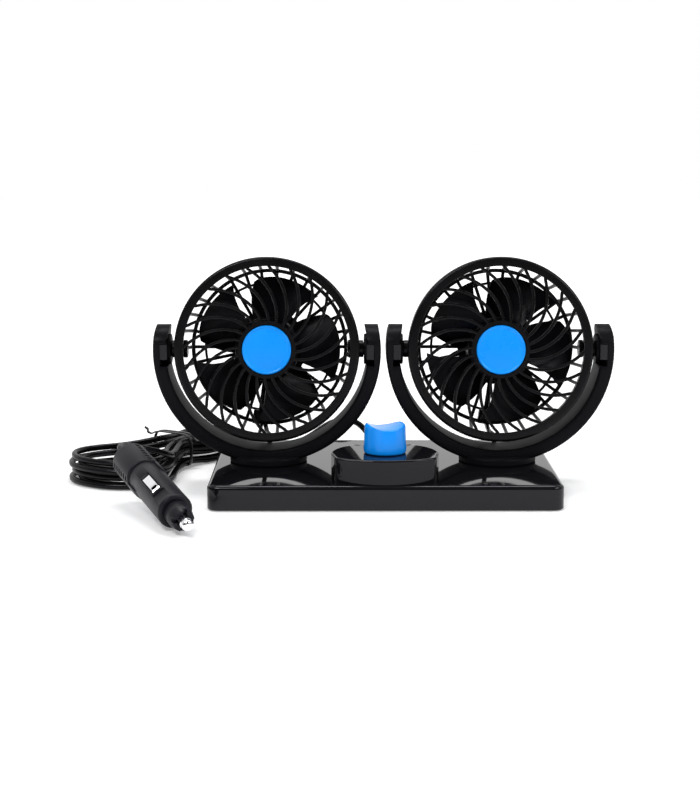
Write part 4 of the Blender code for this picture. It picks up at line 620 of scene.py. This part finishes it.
def smoothed(points, rounds=2):
    """Points on a cubic through the given ones, which takes the corners out of a coarse line."""
    for _ in range(rounds):
        fine = [points[0]]
        for n in range(len(points) - 1):
            a = points[max(n - 1, 0)]
            b, c = points[n], points[n + 1]
            d = points[min(n + 2, len(points) - 1)]
            fine += [(b + c) * 0.5625 - (a + d) * 0.0625, c]
        points = fine
    return points


def wire(name, points, diameter, body, nodes):
    """A round rubber cord along a line of points."""
    data = bpy.data.curves.new(name, "CURVE")
    data.dimensions = "3D"
    data.bevel_depth = diameter / 2
    data.bevel_resolution = 4
    data.use_fill_caps = True
    line = data.splines.new("POLY")
    line.points.add(len(points) - 1)
    for spot, point in zip(line.points, points):
        spot.co = (*point, 1.0)
    line.use_smooth = True
    return settle(data, name, "black_rubber", body, nodes)


def make_cord():
    """The power cord from the gland through the hank into the plug's grip."""
    hank = hank_points()
    plug = plug_frame()
    behind, enter, ferrule = (plug @ Vector((0.0, 0.0, z))
                              for z in (CORD_BEHIND, CORD_ENTRY, FERRULE))
    flat = Vector((1.0, 1.0, 0.0))
    before = hank[0] + ((hank[0] - hank[1]) * flat).normalized() * 2.3 * CORD
    after = hank[-1] + ((hank[-1] - hank[-2]) * flat).normalized() * 2.3 * CORD
    leave = GLAND + Vector((0.0, GLAND_LENGTH, 0.0))
    tail = [leave, leave + Vector((0.0, CORD / 2, 0.0)), *TAIL, before, hank[0]]
    lead = [hank[-1], after, *LEAD, behind, enter, ferrule]
    points = through(tail, 0.002)[:-1] + hank + through(lead, 0.002)[1:]
    points = evened(eased_folds(evened(smoothed(points), 0.003)), 0.003)
    points[0] = leave
    cord = wire("power_cord", points, CORD, "base", ("cord_tail", "cord_hank", "cord_lead"))
    return cord, points, leave


def tie_points():
    """The wire tie's line: over once and a half, square round the bundle."""
    half, low, high, shift, steps = 0.0162, 0.00075, 0.0229, 0.006, 120
    middle, tall = (low + high) / 2, (high - low) / 2
    points = []
    for i in range(steps + 1):
        angle = radians(135) - radians(468) * i / steps
        cosine, sine = cos(angle), sin(angle)
        across = half * copysign(abs(cosine) ** 0.4, cosine)
        height = middle + tall * copysign(abs(sine) ** 0.4, sine)
        points.append(TIE_FRAME @ Vector((shift * i / steps - shift / 2, -across, height)))
    return points


def make_tie():
    """A flat plastic tie with a wire core, its two ends bent away."""
    bm = bmesh.new()
    turn = TIE_FRAME.to_3x3()
    strip = round_rect(0.0026, 0.0008, 0.00035, 2)
    line = evened(tie_points(), 0.0012)
    sweep(bm, along(line, turn @ Vector((1, 0, 0))), strip)
    for end, first, lean in ((line[0], line[1], (-0.003, 0.003, 0.003)),
                             (line[-1], line[-2], (0.003, -0.004, -0.001))):
        way = (end - first).normalized()
        tip = end + turn @ Vector(lean)
        free = through([end, end + way * 0.001, (end + way * 0.004 + tip) / 2, tip,
                        tip + (tip - end).normalized() * 0.002], 0.001)
        sweep(bm, along(free, turn @ Vector((1, 0.3, 0))), strip)
    obj_from(bm, "cord_wire_tie", "tie_wire", "base", nodes="cord_tie")


def ring_row(count, start, step, radius, taper, groove, reach):
    """A row of rings on a sleeve that tapers, as (radius, height) points."""
    points = []
    for n in range(count):
        top, z = radius - taper * n, start + step * n
        first, last, foot = reach
        points += [(top - groove, z), (top, z + first), (top, z + last), (top - groove, z + foot)]
    return points


def make_gland():
    """The rubber gland: a flange at the wall and a ringed tail that tapers to the cord."""
    profile = [(0.0, -0.004), (0.00375, -0.004), (0.00375, 0.0), (0.0051, 0.0003), (0.0051, 0.0016)]
    profile = rounded(profile, 0.0004, 2)
    profile += ring_row(8, 0.0019, 0.0024, 0.004, 0.00014, 0.0005, (0.0004, 0.0015, 0.0019))
    profile += [(0.0028, 0.0214), (0.00205, 0.0214)]
    bm = lathe(bmesh.new(), profile, 48, at(GLAND.x, WALL_FACE, GLAND.z, -QUARTER))
    obj_from(bm, "ringed_gland", "black_rubber", "base", angle=50, nodes="cord_gland")


# Plug, in its own frame

FRONT_RADIUS, FRONT_REAR, BORE, GRIP_RADIUS = 0.01025, -0.0531, 0.0043, 0.01125


def plug_piece(bm, piece, look, node, angle=35, body="base"):
    """A piece of the plug that stands for one of its nodes."""
    obj_from(bm, f"plug_{piece}", look, body, plug_frame(), angle, f"plug_{node}")


def make_plug():
    for make_one in (front_shell, grip_shell, nose, tip_piece, relief):
        make_one()
    for side, name in ((1, "upper"), (-1, "lower")):
        contact(side, name)


def front_shell():
    """The front shell: bored, with a window each side and a shallow panel ahead of it."""
    radius, edge = FRONT_RADIUS, 0.0016
    profile = [(0.0, -0.046), (BORE, -0.046), (BORE, 0.0), (radius - edge, 0.0)]
    profile += arc((radius - edge, -edge), edge, QUARTER, 0.0, 6)[1:]
    profile += [(radius, -0.0527), (radius - 0.0005, FRONT_REAR), (0.0, FRONT_REAR)]
    cutters = []
    for side in (1, -1):
        cutters.append(solid_box((0.006, 0.006, 0.023), (0.0, side * 0.0092, -0.027)))
        cutters.append(solid_box((0.008, 0.0024, 0.0112),
                                 (0.0, side * (radius - 0.0001), -0.0084)))
    shell = carve(solid_round(profile), *cutters)
    half_window = 0.0033
    height = sqrt(radius ** 2 - half_window ** 2)
    for side in (1, -1):
        rim = bmesh.new()
        for x in (-half_window, half_window):
            sweep(rim, [Matrix.Translation((x, side * height, z)) for z in (-0.0388, -0.0152)],
                  round_rect(0.0005, 0.0006, 0.0002, 2))
        bridge_in(shell, rim)
    plug_piece(eased_edges(shell, 0.0002), "shell", "plug_black", "body")


def grip_shell():
    """The rear shell, a little fatter, with a ribbed strip along each side that runs forward."""
    radius = GRIP_RADIUS
    profile = [(0.0, -0.0533), (radius - 0.0012, -0.0533)]
    profile += arc((radius - 0.0012, -0.0545), 0.0012, QUARTER, 0.0, 4)
    profile += arc((radius - 0.0022, -0.0808), 0.0022, 0.0, -QUARTER, 6)
    profile += [(0.0047, -0.083), (0.0047, -0.0747), (0.0, -0.0747)]
    notches = []
    for side in (1, -1):
        for n in range(6):
            z = -0.0565 - 0.0042 * n
            for tilt, wide in ((-34, 0.0032), (0, 0.0056), (34, 0.0032)):
                notch = solid_box((0.003, wide, 0.0021), (radius + 0.0003, 0.0, z))
                notch.transform(Matrix.Rotation(radians(tilt + 90 - 90 * side), 4, "Z"))
                notches.append(notch)
    shell = carve(solid_round(profile), *notches)
    for side in (1, -1):
        rings = []
        for z, height in ((-0.0535, 1.0), (-0.047, 1.0), (-0.0435, 0.8), (-0.0415, 0.15)):
            width = radians(24) * (0.6 + 0.4 * height)
            angles = [-width + 2 * width * n / 8 for n in range(9)]
            top = 0.0102 + 0.001 * height
            rings.append([polar(side * top, angle, z) for angle in angles]
                         + [polar(side * 0.01, angle, z) for angle in angles[::-1]])
        bridge_in(shell, outward(loft(bmesh.new(), rings)))
    plug_piece(eased_edges(shell, 0.00025), "grip_shell", "plug_black", "grip")


def nose():
    """The cap nut with a castle edge."""
    back, front, bore = 0.0003, 0.0135, 0.0038
    profile = [(bore, back), (0.0073, back), (0.0073, 0.0081), (0.00625, front), (bore, front)]
    bm = lathe(bmesh.new(), rounded(profile, 0.0005, 3), 64)
    lathe(bm, [(bore, front), (bore, back)], 64)
    bmesh.ops.remove_doubles(bm, verts=bm.verts, dist=1e-6)
    cutters = [solid_box((0.018, 0.0024, 0.0046), (0.0, 0.0, front), turn)
               for turn in (pi / 4, -pi / 4)]
    nut = eased_edges(carve(outward(bm), *cutters), 0.0002)
    plug_piece(nut, "nose_nut", "plug_black", "nose")


def tip_piece():
    """The bright centre contact: a shank, a neck ring and a domed end."""
    profile = [(0.0, -0.0018), (0.004, -0.0018), (0.004, 0.0), (0.0035, 0.0), (0.0035, 0.0168),
               (0.0031, 0.0172), (0.0031, 0.0176), (0.0034, 0.018)]
    profile += arc((0.0012, 0.0193), 0.0022, 0.0, QUARTER, 8) + [(0.0, TIP_REACH)]
    plug_piece(lathe(bmesh.new(), profile, 64), "bright_tip", "bright_contact", "tip",
               body="plug_tip")


def relief():
    """The strain relief behind the grip: four rings that taper to the cord."""
    profile = [(0.0, -0.0752), (0.0044, -0.0752), (0.0044, -0.0832)]
    profile += ring_row(4, -0.0838, -0.0027, 0.0043, 0.00035, 0.0006, (-0.0005, -0.0016, -0.0021))
    profile += [(0.00225, CORD_ENTRY), (0.0, CORD_ENTRY)]
    plug_piece(lathe(bmesh.new(), profile, 48), "ringed_relief", "black_rubber", "strain_relief",
               50)


def contact(side, name):
    """A bowed leaf of sprung strip in the window, with a slot near its front."""
    steps, half, thick, inner = 24, 0.0024, 0.0006, []
    for n in range(steps + 1):
        share = n / steps
        inner.append((-0.0379 + 0.0218 * share, 0.00745 + 0.0026 * (1 - abs(2 * share - 1) ** 5)))
    outline = [(z, y + thick) for z, y in inner] + inner[::-1]
    edges = [[Vector((x, side * y, z)) for z, y in outline] for x in (half, -half)]
    slot = slab(round_rect(0.0036, 0.0021, 0.001, 6), 0.004, 0.014,
                at(0.0, 0.0, -0.0196, -side * QUARTER))
    plug_piece(carve(outward(loft(bmesh.new(), edges)), slot), f"{name}_leaf", "bright_contact",
               f"{name}_contact", 40, f"plug_{name}_contact")


# Base cover, control pod, knob and dial marks

BASE_WIDTH, BASE_DEPTH, BASE_CORNER, BASE_TOP = 0.212, 0.145, 0.0075, 0.0152
KNOB_Y = -0.045
POD_Y, POD_RADIUS, POD_TOP = -0.046, 0.0324, 0.03


def base_outline(inset):
    return round_rect(BASE_WIDTH - 2 * inset, BASE_DEPTH - 2 * inset,
                      max(BASE_CORNER - inset, 0.0004), 12)


def pod_shape(inset):
    """The pod from above: a half circle at the back, straight sides and a bowed front."""
    half_front, bow, corner = 0.0305, 0.008, 0.004
    front_radius = (half_front ** 2 + bow ** 2) / (2 * bow)
    centre = (0.0, POD_Y - 0.012 - corner - bow + front_radius)
    corner_x = half_front - corner
    corner_y = centre[1] - sqrt((front_radius - corner) ** 2 - corner_x ** 2)
    lean = atan2(corner_x, centre[1] - corner_y)
    small = max(corner - inset, 0.0003)
    left, right = 3 * QUARTER - lean, 3 * QUARTER + lean
    points = arc((0.0, POD_Y), POD_RADIUS - inset, 0.0, pi, 60)
    points += arc((-corner_x, corner_y), small, pi, left, 8)
    points += arc(centre, front_radius - inset, left, right, 28)[1:-1]
    points += arc((corner_x, corner_y), small, right, 4 * QUARTER, 8)
    return points


def shell(shape, low, top, edge, steps=8, lip=0.0004):
    """A block with a rounded top edge and a small lip round its foot."""
    levels = [(lip, low), (0.0, low + lip)]
    for i in range(steps + 1):
        angle = QUARTER * i / steps
        levels.append((edge * (1 - cos(angle)), top - edge + edge * sin(angle)))
    levels.append((edge + 0.0008, top))
    return outward(loft(bmesh.new(), [[Vector((x, y, height)) for x, y in shape(inset)]
                                      for inset, height in levels]))


def make_base():
    """The hollow cover, bored for the two spindles, the gland and the pod's room."""
    cover = shell(base_outline, 0.0004, BASE_TOP, 0.0025)
    cavity = slab(base_outline(0.0026), -0.002, 0.0127)
    pod_room = slab(pod_shape(0.003), 0.011, 0.0165)
    holes = [drill(0.0084, 0.011, 0.017, 48, swivel_frame(side)) for side in (-1, 1)]
    holes.append(drill(0.00385, -0.004, 0.002, 32, at(GLAND.x, WALL_FACE, GLAND.z, -QUARTER)))
    cover = carve(cover, cavity, pod_room, *holes)
    obj_from(cover, "cover_shell", "gloss_black", "base", angle=32, nodes="base_cover")


def make_pod():
    pod = shell(pod_shape, 0.0146, POD_TOP, 0.0011, 6, 0.0002)
    room = slab(pod_shape(0.0026), 0.01, 0.0275)
    pod = carve(pod, room, drill(0.0049, 0.026, 0.032, 32, at(0.0, KNOB_Y, 0.0)))
    obj_from(pod, "control_pod", "pod_black", "base", angle=32)


def make_marks():
    """Plain dial marks behind the knob: 0, 1 and 2, keyed by their angle in degrees."""
    bm = bmesh.new()
    strokes = {
        126: [(0.0013 * sin(TAU * i / 20), 0.0018 * cos(TAU * i / 20)) for i in range(21)],
        90: [(-0.0007, 0.001), (0.0, 0.0018), (0.0, -0.0018)],
        57: [(-0.0011, 0.0009), (-0.0008, 0.0016), (0.0, 0.0019), (0.0008, 0.0016),
             (0.0011, 0.0009), (0.0007, 0.0), (-0.0011, -0.0018), (0.0012, -0.0018)],
    }
    radius = 0.028
    for degrees, line in strokes.items():
        angle = radians(degrees)
        centre = Vector((radius * cos(angle), KNOB_Y + radius * sin(angle), 0.0))
        turn = Matrix.Rotation(angle - QUARTER, 3, "Z")
        points = [centre + turn @ Vector((x, y, 0.0)) + Vector((0.0, 0.0, POD_TOP + 0.00002))
                  for x, y in line]
        sweep(bm, along(points, (0.0, 0.0, 1.0)), round_rect(0.00012, 0.0005, 0.00005, 1))
    obj_from(bm, "dial_marks", "dial_grey", "base")


def make_knob():
    """A round knob, a little flared at its foot, with a finger scoop across its top."""
    low, high, edge, turned = 0.0303, 0.0484, 0.0026, radians(12)
    profile = [(0.0, low), (0.0122, low), (0.0127, low + 0.0006), (0.013, low + 0.003),
               (0.0127, low + 0.0065), (0.0124, high - 0.003)]
    profile += arc((0.0098, high - edge), edge, 0.0, QUARTER, 8) + [(0.0, high)]
    here = at(0.0, KNOB_Y, 0.0)
    scoop_radius, scoop_depth = 0.0195, 0.0035
    scoop = drill(scoop_radius, -0.03, 0.03, 160,
                  at(0.0, KNOB_Y, high - scoop_depth + scoop_radius, turned, "Z")
                  @ Matrix.Rotation(QUARTER, 4, "X"))
    socket = solid_round([(0.0, 0.029), (0.00775, 0.029), (0.00775, 0.0339), (0.0033, 0.0339),
                          (0.0033, 0.0432), (0.0, 0.0432)], 48, here)
    knob = carve(solid_round(profile, 128, here), scoop, socket)
    knob = eased_edges(knob, 0.0008, 4, 30)
    obj_from(knob, "speed_knob", "blue_knob", "knob", angle=30, nodes="control_knob")


# Yokes

EAR_FACE, PAD_FACE = 0.0603, 0.0632
EAR_X = EAR_FACE + 0.0014 + 0.0025


def ear_slab(way, size, corner, depth, y, z):
    """A block across one ear, from y forward, z above the pivot."""
    return slab(round_rect(*size, corner, 2), 0.0, depth, at(way * EAR_X, y, PIVOT_Z + z, QUARTER))


def make_yoke(side, name):
    """The U-shaped arm: rounded edges, round-topped ears with a pocket, and its neck."""
    outer, inner, half, ear_top = 0.0708, 0.0625, 0.0145, 0.0156
    middle = (outer + inner) / 2
    places, steps = [], 96
    up = asin((ear_top + 0.001) / outer) + 0.04
    back = Vector((0.0, 1.0, 0.0))
    for i in range(steps + 1):
        angle = -pi - up + (pi + 2 * up) * i / steps
        out = Vector((cos(angle), 0.0, sin(angle)))
        places.append(axes_at(out * middle + Vector((0.0, 0.0, PIVOT_Z)), out, back,
                              out.cross(back)))
    arm = outward(sweep(bmesh.new(), places, round_rect(outer - inner, 2 * half, 0.0021, 6)))
    radius = half + 0.001
    ears = arc((0.0, PIVOT_Z + ear_top - radius), radius, 0.0, pi, 40)
    ears += [(-radius, 0.01), (radius, 0.01)]
    turn = Matrix(((0, 0, 1, 0), (1, 0, 0, 0), (0, 1, 0, 0), (0, 0, 0, 1)))
    arm = carve(arm, slab(ears, -0.075, 0.075, turn), operation="INTERSECT")
    cutters = []
    for way in (-1, 1):
        cutters += [ear_slab(way, (0.005, 0.0102), 0.0003, 0.003, -half + 0.0011, -0.0004),
                    ear_slab(way, (0.005, 0.0042), 0.0003, 0.0215, 0.006, -0.0075),
                    drill(0.0043, 0.055, 0.0688, 40, sideways(way, PIVOT_Z))]
    arm = carve(arm, *cutters)
    pad = [(0.0045, EAR_FACE), (0.0095, EAR_FACE), (0.0095, PAD_FACE), (0.0045, PAD_FACE)]
    for way in (-1, 1):
        bridge_in(arm, eased_edges(solid_round(pad, 64, sideways(way, PIVOT_Z)), 0.0004))
    arm = eased_edges(arm, 0.0005, 2, 50)
    for n, way in enumerate((-1, 1), 1):
        block = ear_slab(way, (0.0046, 0.0094), 0.0004, 0.0005, -half + 0.0009, -0.0004)
        obj_from(eased_edges(block, 0.0002), f"{name}_ear_block_{n}", "block_black",
                 f"{name}_swivel_arm", swivel_frame(side), 32)
    neck_top, neck_foot, neck_edge = 0.0199, 0.0156, 0.001
    profile = [(0.0, neck_top), (0.0233, neck_top)]
    profile += arc((0.0233, neck_top - neck_edge), neck_edge, QUARTER, 0.0, 4)[1:]
    profile += [(0.0243, 0.016), (0.024, neck_foot), (0.008, neck_foot), (0.008, 0.0055),
                (0.004, 0.0055), (0.004, neck_foot), (0.0, neck_foot)]
    bridge_in(arm, solid_round(profile))
    obj_from(arm, f"{name}_yoke_arm", "yoke_black", f"{name}_swivel_arm",
             swivel_frame(side), 32, f"{name}_yoke")


# Heads: front grille, hub cap, rear cage, motor, pins, fan and leads

HUB_RADIUS, GRILLE_EDGE = 0.018, 0.0519
LEAD_ANGLE = radians(262)


def spiral(radius):
    """How far round a rib has swept at this radius."""
    share = min(max((radius - HUB_RADIUS) / (GRILLE_EDGE - HUB_RADIUS), 0.0), 1.0)
    return radians(33) * share ** 1.2


def grille_z(radius):
    """The height of the grille's slightly domed front at this radius."""
    return 0.016 + 0.001 * max(0.0, 1 - (radius / GRILLE_EDGE) ** 2)


FACE = grille_z(HUB_RADIUS)


def head_piece(bm, side, name, piece, look, node, angle=35):
    """A piece that tilts with its head and stands for one of the head's nodes."""
    obj_from(outward(bm), f"{name}_{piece}", look, f"{name}_head", head_frame(side), angle,
             f"{name}_{node}")


def make_grille(side, name):
    """A flat rim, a hub ring and 24 spiral ribs with rounded fronts."""
    bm = bmesh.new()
    rim = [(0.0557, 0.0062), (0.0557, 0.0142), (0.052, 0.0142), (0.0517, 0.0146),
           (0.0517, 0.0157), (0.0521, 0.016), (0.0556, 0.016)]
    rim += arc((0.0556, 0.0141), 0.0019, QUARTER, 0.0, 8)[1:]
    rim += [(0.0575, 0.0063), (0.0572, 0.006), (0.0559, 0.006)]
    lathe(bm, rim, 160, closed=True)
    hub = [(0.0154, FACE - 0.0018), (0.0154, FACE - 0.0003), (0.0157, FACE), (0.0176, FACE),
           (0.0181, FACE - 0.0005), (0.0181, FACE - 0.0018)]
    lathe(bm, hub, 112, closed=True)
    flank = [(-0.0018, 0.00095), (-0.0005, 0.00095), (-0.00012, 0.0007), (0.0, 0.0003)]
    section = [(x, -y) for x, y in flank] + flank[::-1]
    ribs, steps, inner, outer = 24, 22, 0.0174, 0.0524
    for n in range(ribs):
        first = radians(10.8 + 360 / ribs * n)
        points = []
        for i in range(steps + 1):
            radius = inner + (outer - inner) * i / steps
            points.append(polar(radius, first + spiral(radius), grille_z(radius)))
        sweep(bm, along(points, (0.0, 0.0, 1.0)), section)
    head_piece(bm, side, name, "spiral_grille", "satin_black", "front_grille")


def make_cap(side, name):
    """The blue button: a slightly domed face inside a thin raised edge."""
    edge = FACE + 0.0006
    dome = [(0.0, 0.001), (0.006, 0.00085), (0.011, 0.0004), (0.0134, 0.00002),
            (0.0137, 0.0001), (0.014, 0.0004), (0.0145, 0.0005), (0.0149, 0.0003),
            (0.0151, -0.0001)]
    profile = [(radius, edge + rise) for radius, rise in dome]
    profile += [(0.0151, FACE - 0.0021), (0.0177, FACE - 0.0021), (0.0177, FACE - 0.0034),
                (0.0, FACE - 0.0034)]
    cap = lathe(bmesh.new(), profile, 112)
    head_piece(cap, side, name, "blue_button", "blue_cap", "hub_cap", 40)


def make_cage(side, name):
    """Thirty bars from the rim back and in to the motor's mount, tied by rings."""
    bm = bmesh.new()
    outer, bars, floor = 0.0552, 30, -0.0261
    rim = [(outer - 0.0018, 0.0098), (outer - 0.0018, 0.0002), (outer - 0.0014, -0.0004),
           (outer - 0.0004, -0.0004), (outer, 0.0), (outer, 0.0098), (outer - 0.0003, 0.0101),
           (outer - 0.0015, 0.0101)]
    lathe(bm, rim, 150, closed=True)
    for radius, z, width, tall in ((0.049, -0.0259, 0.0024, 0.0024),
                                   (0.041, floor, 0.0016, 0.0015)):
        ring = [(radius + x, z + y) for x, y in round_rect(width, tall, 0.0004, 2)]
        lathe(bm, ring, 150, closed=True)
    cup = [(0.009, -0.027), (0.0236, -0.027), (0.024, -0.0266), (0.024, -0.0256),
           (0.0236, -0.0252), (0.0196, -0.0252), (0.0192, -0.0248), (0.0192, -0.019),
           (0.0178, -0.019), (0.0178, -0.0252), (0.009, -0.0252)]
    lathe(bm, cup, closed=True)
    line = [(0.0543, 0.003), (0.0541, 0.0), (0.0499, -0.0246), (0.0497, -0.0252),
            (0.0494, -0.0257), (0.0489, -0.026)]
    line += [(radius, floor) for radius in (0.0483, 0.04, 0.03, 0.023)]
    section = round_rect(0.0018, 0.0021, 0.0004, 2)
    for n in range(bars):
        angle = TAU * n / bars
        spine = Vector((-sin(angle), cos(angle), 0.0))
        points = [polar(radius, angle, z) for radius, z in line]
        places = []
        for i, point in enumerate(points):
            before, after = points[max(i - 1, 0)], points[min(i + 1, len(points) - 1)]
            way = (after - before).normalized()
            places.append(axes_at(point, spine.cross(way), spine, way))
        sweep(bm, places, section)
    block = eased_edges(solid_box((0.009, 0.0087, 0.0068), (0.0455, 0.0, -0.0236)), 0.0007, 3)
    block.transform(Matrix.Rotation(LEAD_ANGLE, 4, "Z"))
    bridge_in(bm, block)
    stub = [(0.0043, 0.0531), (0.005, 0.0531), (0.0054, 0.0535), (0.0054, 0.0596),
            (0.005, 0.06), (0.0043, 0.06)]
    for way in (-1, 1):
        lathe(bm, stub, 48, sideways(way), closed=True)
    head_piece(bm, side, name, "barred_cage", "cage_black", "rear_cage")


def make_motor(side, name):
    """The round motor can with a groove round it, open at the shaft's collar."""
    profile = [(0.0019, -0.016), (0.0019, -0.0005), (0.0052, -0.0005), (0.0056, -0.0014),
               (0.0157, -0.0014), (0.0166, -0.0017), (0.0172, -0.0026), (0.0172, -0.007),
               (0.0169, -0.0073), (0.0172, -0.0076), (0.0172, -0.024), (0.0166, -0.0249),
               (0.0078, -0.0249), (0.0078, -0.0268), (0.0074, -0.027), (0.0, -0.027)]
    can = lathe(bmesh.new(), profile, 80)
    head_piece(can, side, name, "motor_case", "motor_can", "motor")


def make_pins(side, name):
    """The two pins that the head tilts on, each with its head inside the cage."""
    profile = [(0.0, 0.0685), (0.0034, 0.0685), (0.004, 0.0679), (0.004, 0.0528),
               (0.0052, 0.0528), (0.0056, 0.0524), (0.0056, 0.0506), (0.005, 0.0501),
               (0.0, 0.0501)]
    for n, way in enumerate((-1, 1), 1):
        head_piece(lathe(bmesh.new(), profile, 48, sideways(way)), side, name,
                   f"turned_pin_{n}", "satin_black", f"pivot_pin_{n}")


def between(first, last, share):
    return first + (last - first) * share


def blade_point(along_share, out_share, lift):
    """A point of a blade's face: from its root to its tip, and round from its leading edge."""
    start = between(radians(52), radians(45.6), out_share)
    span = between(radians(66), radians(56.4), out_share)
    belly = sin(pi * out_share) * radians(3) * (1 - along_share) ** 2
    corner = 0.0026 * along_share ** 8
    radius = between(0.0192, 0.0455 - corner, out_share)
    rise = between(0.0165, 0.0115, out_share)
    angle = start + span * along_share + belly
    cup = 0.0016 * sin(pi * along_share)
    height = -0.0015 + rise * (0.5 - along_share) + cup * out_share + lift
    return polar(radius, angle, height)


def add_blade(bm, spin):
    """One blade: two faces of quads, joined round their edge."""
    out, around = 18, 22
    faces = []
    for sign in (1, -1):
        rows = []
        for i in range(out + 1):
            share = i / out
            row = []
            for j in range(around + 1):
                edge = min(j, around - j) / around
                half = (0.0009 - 0.00035 * share) * min(1.0, 0.35 + 5 * edge)
                row.append(bm.verts.new(spin @ blade_point(j / around, share, sign * half)))
            rows.append(row)
        faces.append(rows)
        for i in range(out):
            for j in range(around):
                quad = (rows[i][j], rows[i + 1][j], rows[i + 1][j + 1], rows[i][j + 1])
                bm.faces.new(quad if sign > 0 else quad[::-1])
    top, bottom = faces
    rim = [(i, 0) for i in range(out + 1)] + [(out, j) for j in range(1, around + 1)]
    rim += [(i, around) for i in range(out - 1, -1, -1)]
    rim += [(0, j) for j in range(around - 1, 0, -1)]
    for (a, b), (c, d) in zip(rim, rim[1:] + rim[:1]):
        bm.faces.new((top[a][b], top[c][d], bottom[c][d], bottom[a][b]))


def make_fan(side, name):
    """A cup hub and five thin swept blades, thicker at the root than at the tip."""
    hub = [(0.0, 0.0095), (0.016, 0.0095), (0.018, 0.0093)]
    hub += arc((0.018, 0.0073), 0.002, QUARTER, 0.0, 6)[1:]
    hub += [(0.02, -0.0121), (0.0197, -0.0125), (0.0186, -0.0125), (0.0184, -0.0121),
            (0.0184, 0.0079), (0.0039, 0.0079), (0.0039, 0.0006), (0.0018, 0.0006),
            (0.0018, 0.0079), (0.0, 0.0079)]
    bm = lathe(bmesh.new(), hub)
    turn = radians(-6.6) if side > 0 else 0.0
    for n in range(5):
        add_blade(bm, Matrix.Rotation(turn + TAU * n / 5, 4, "Z"))
    obj_from(outward(bm), f"{name}_bladed_rotor", "blade_black", f"{name}_fan",
             head_frame(side), 40, f"{name}_fan_rotor")


def make_leads(side, name):
    """The lead inside the cage, and the slack loop from the cage down to the neck."""
    head, swivel = head_frame(side), swivel_frame(side)
    run = polar(1.0, LEAD_ANGLE)
    inside = [head @ (run * r + Vector((0.0, 0.0, z))) for r, z in
              ((0.0175, -0.0236), (0.024, -0.0236), (0.03, -0.0233), (0.036, -0.0236),
               (0.0407, -0.0236))]
    wire(f"{name}_inner_lead", evened(smoothed(inside), 0.0015), 0.003, f"{name}_head",
         f"{name}_motor_lead")
    start = swivel.inverted() @ (head @ (run * 0.0455 + Vector((0.0, 0.0, -0.0273))))
    grommet_y, grommet_z = 0.0192, 0.0213
    bend = (start.z - grommet_z - 0.0003) / 3
    drop = [(start.y, start.z)]
    drop += arc((start.y + 0.0065, start.z - bend), bend, QUARTER, -QUARTER, 60)
    drop += arc((grommet_y + bend, start.z - 3 * bend), bend, QUARTER, pi, 30)
    drop += [(grommet_y, grommet_z)]
    drop = evened([Vector((start.x, y, z)) for y, z in drop], 0.0006)
    points = []
    for n, point in enumerate(drop):
        aside = start.x * (1 - eased(n / (len(drop) - 1)))
        points.append(swivel @ Vector((aside, point.y, point.z)))
    ring = arc((0.0, 0.0), 0.0015, 0.0, TAU, 16)[:-1]
    slack = obj_from(sweep(bmesh.new(), along(points, (1, 0, 0)), ring), f"{name}_slack_lead",
                     "black_rubber", None, angle=60, nodes=f"{name}_lead_loop")
    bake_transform(slack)


def squash_spring():
    """The plug's spring gets its own copy of its mesh; it is not shortened."""
    spring = NODES["plug_spring"]
    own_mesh(spring)


CORD_PIECE, CORD_POINTS, CORD_EXIT = make_cord()
for make in (make_tie, make_gland, make_plug, squash_spring, make_base, make_pod, make_marks,
             make_knob):
    make()
for way, side_name in ((-1, "left"), (1, "right")):
    for make in (make_yoke, make_grille, make_cap, make_cage, make_motor, make_pins, make_fan,
                 make_leads):
        make(way, side_name)
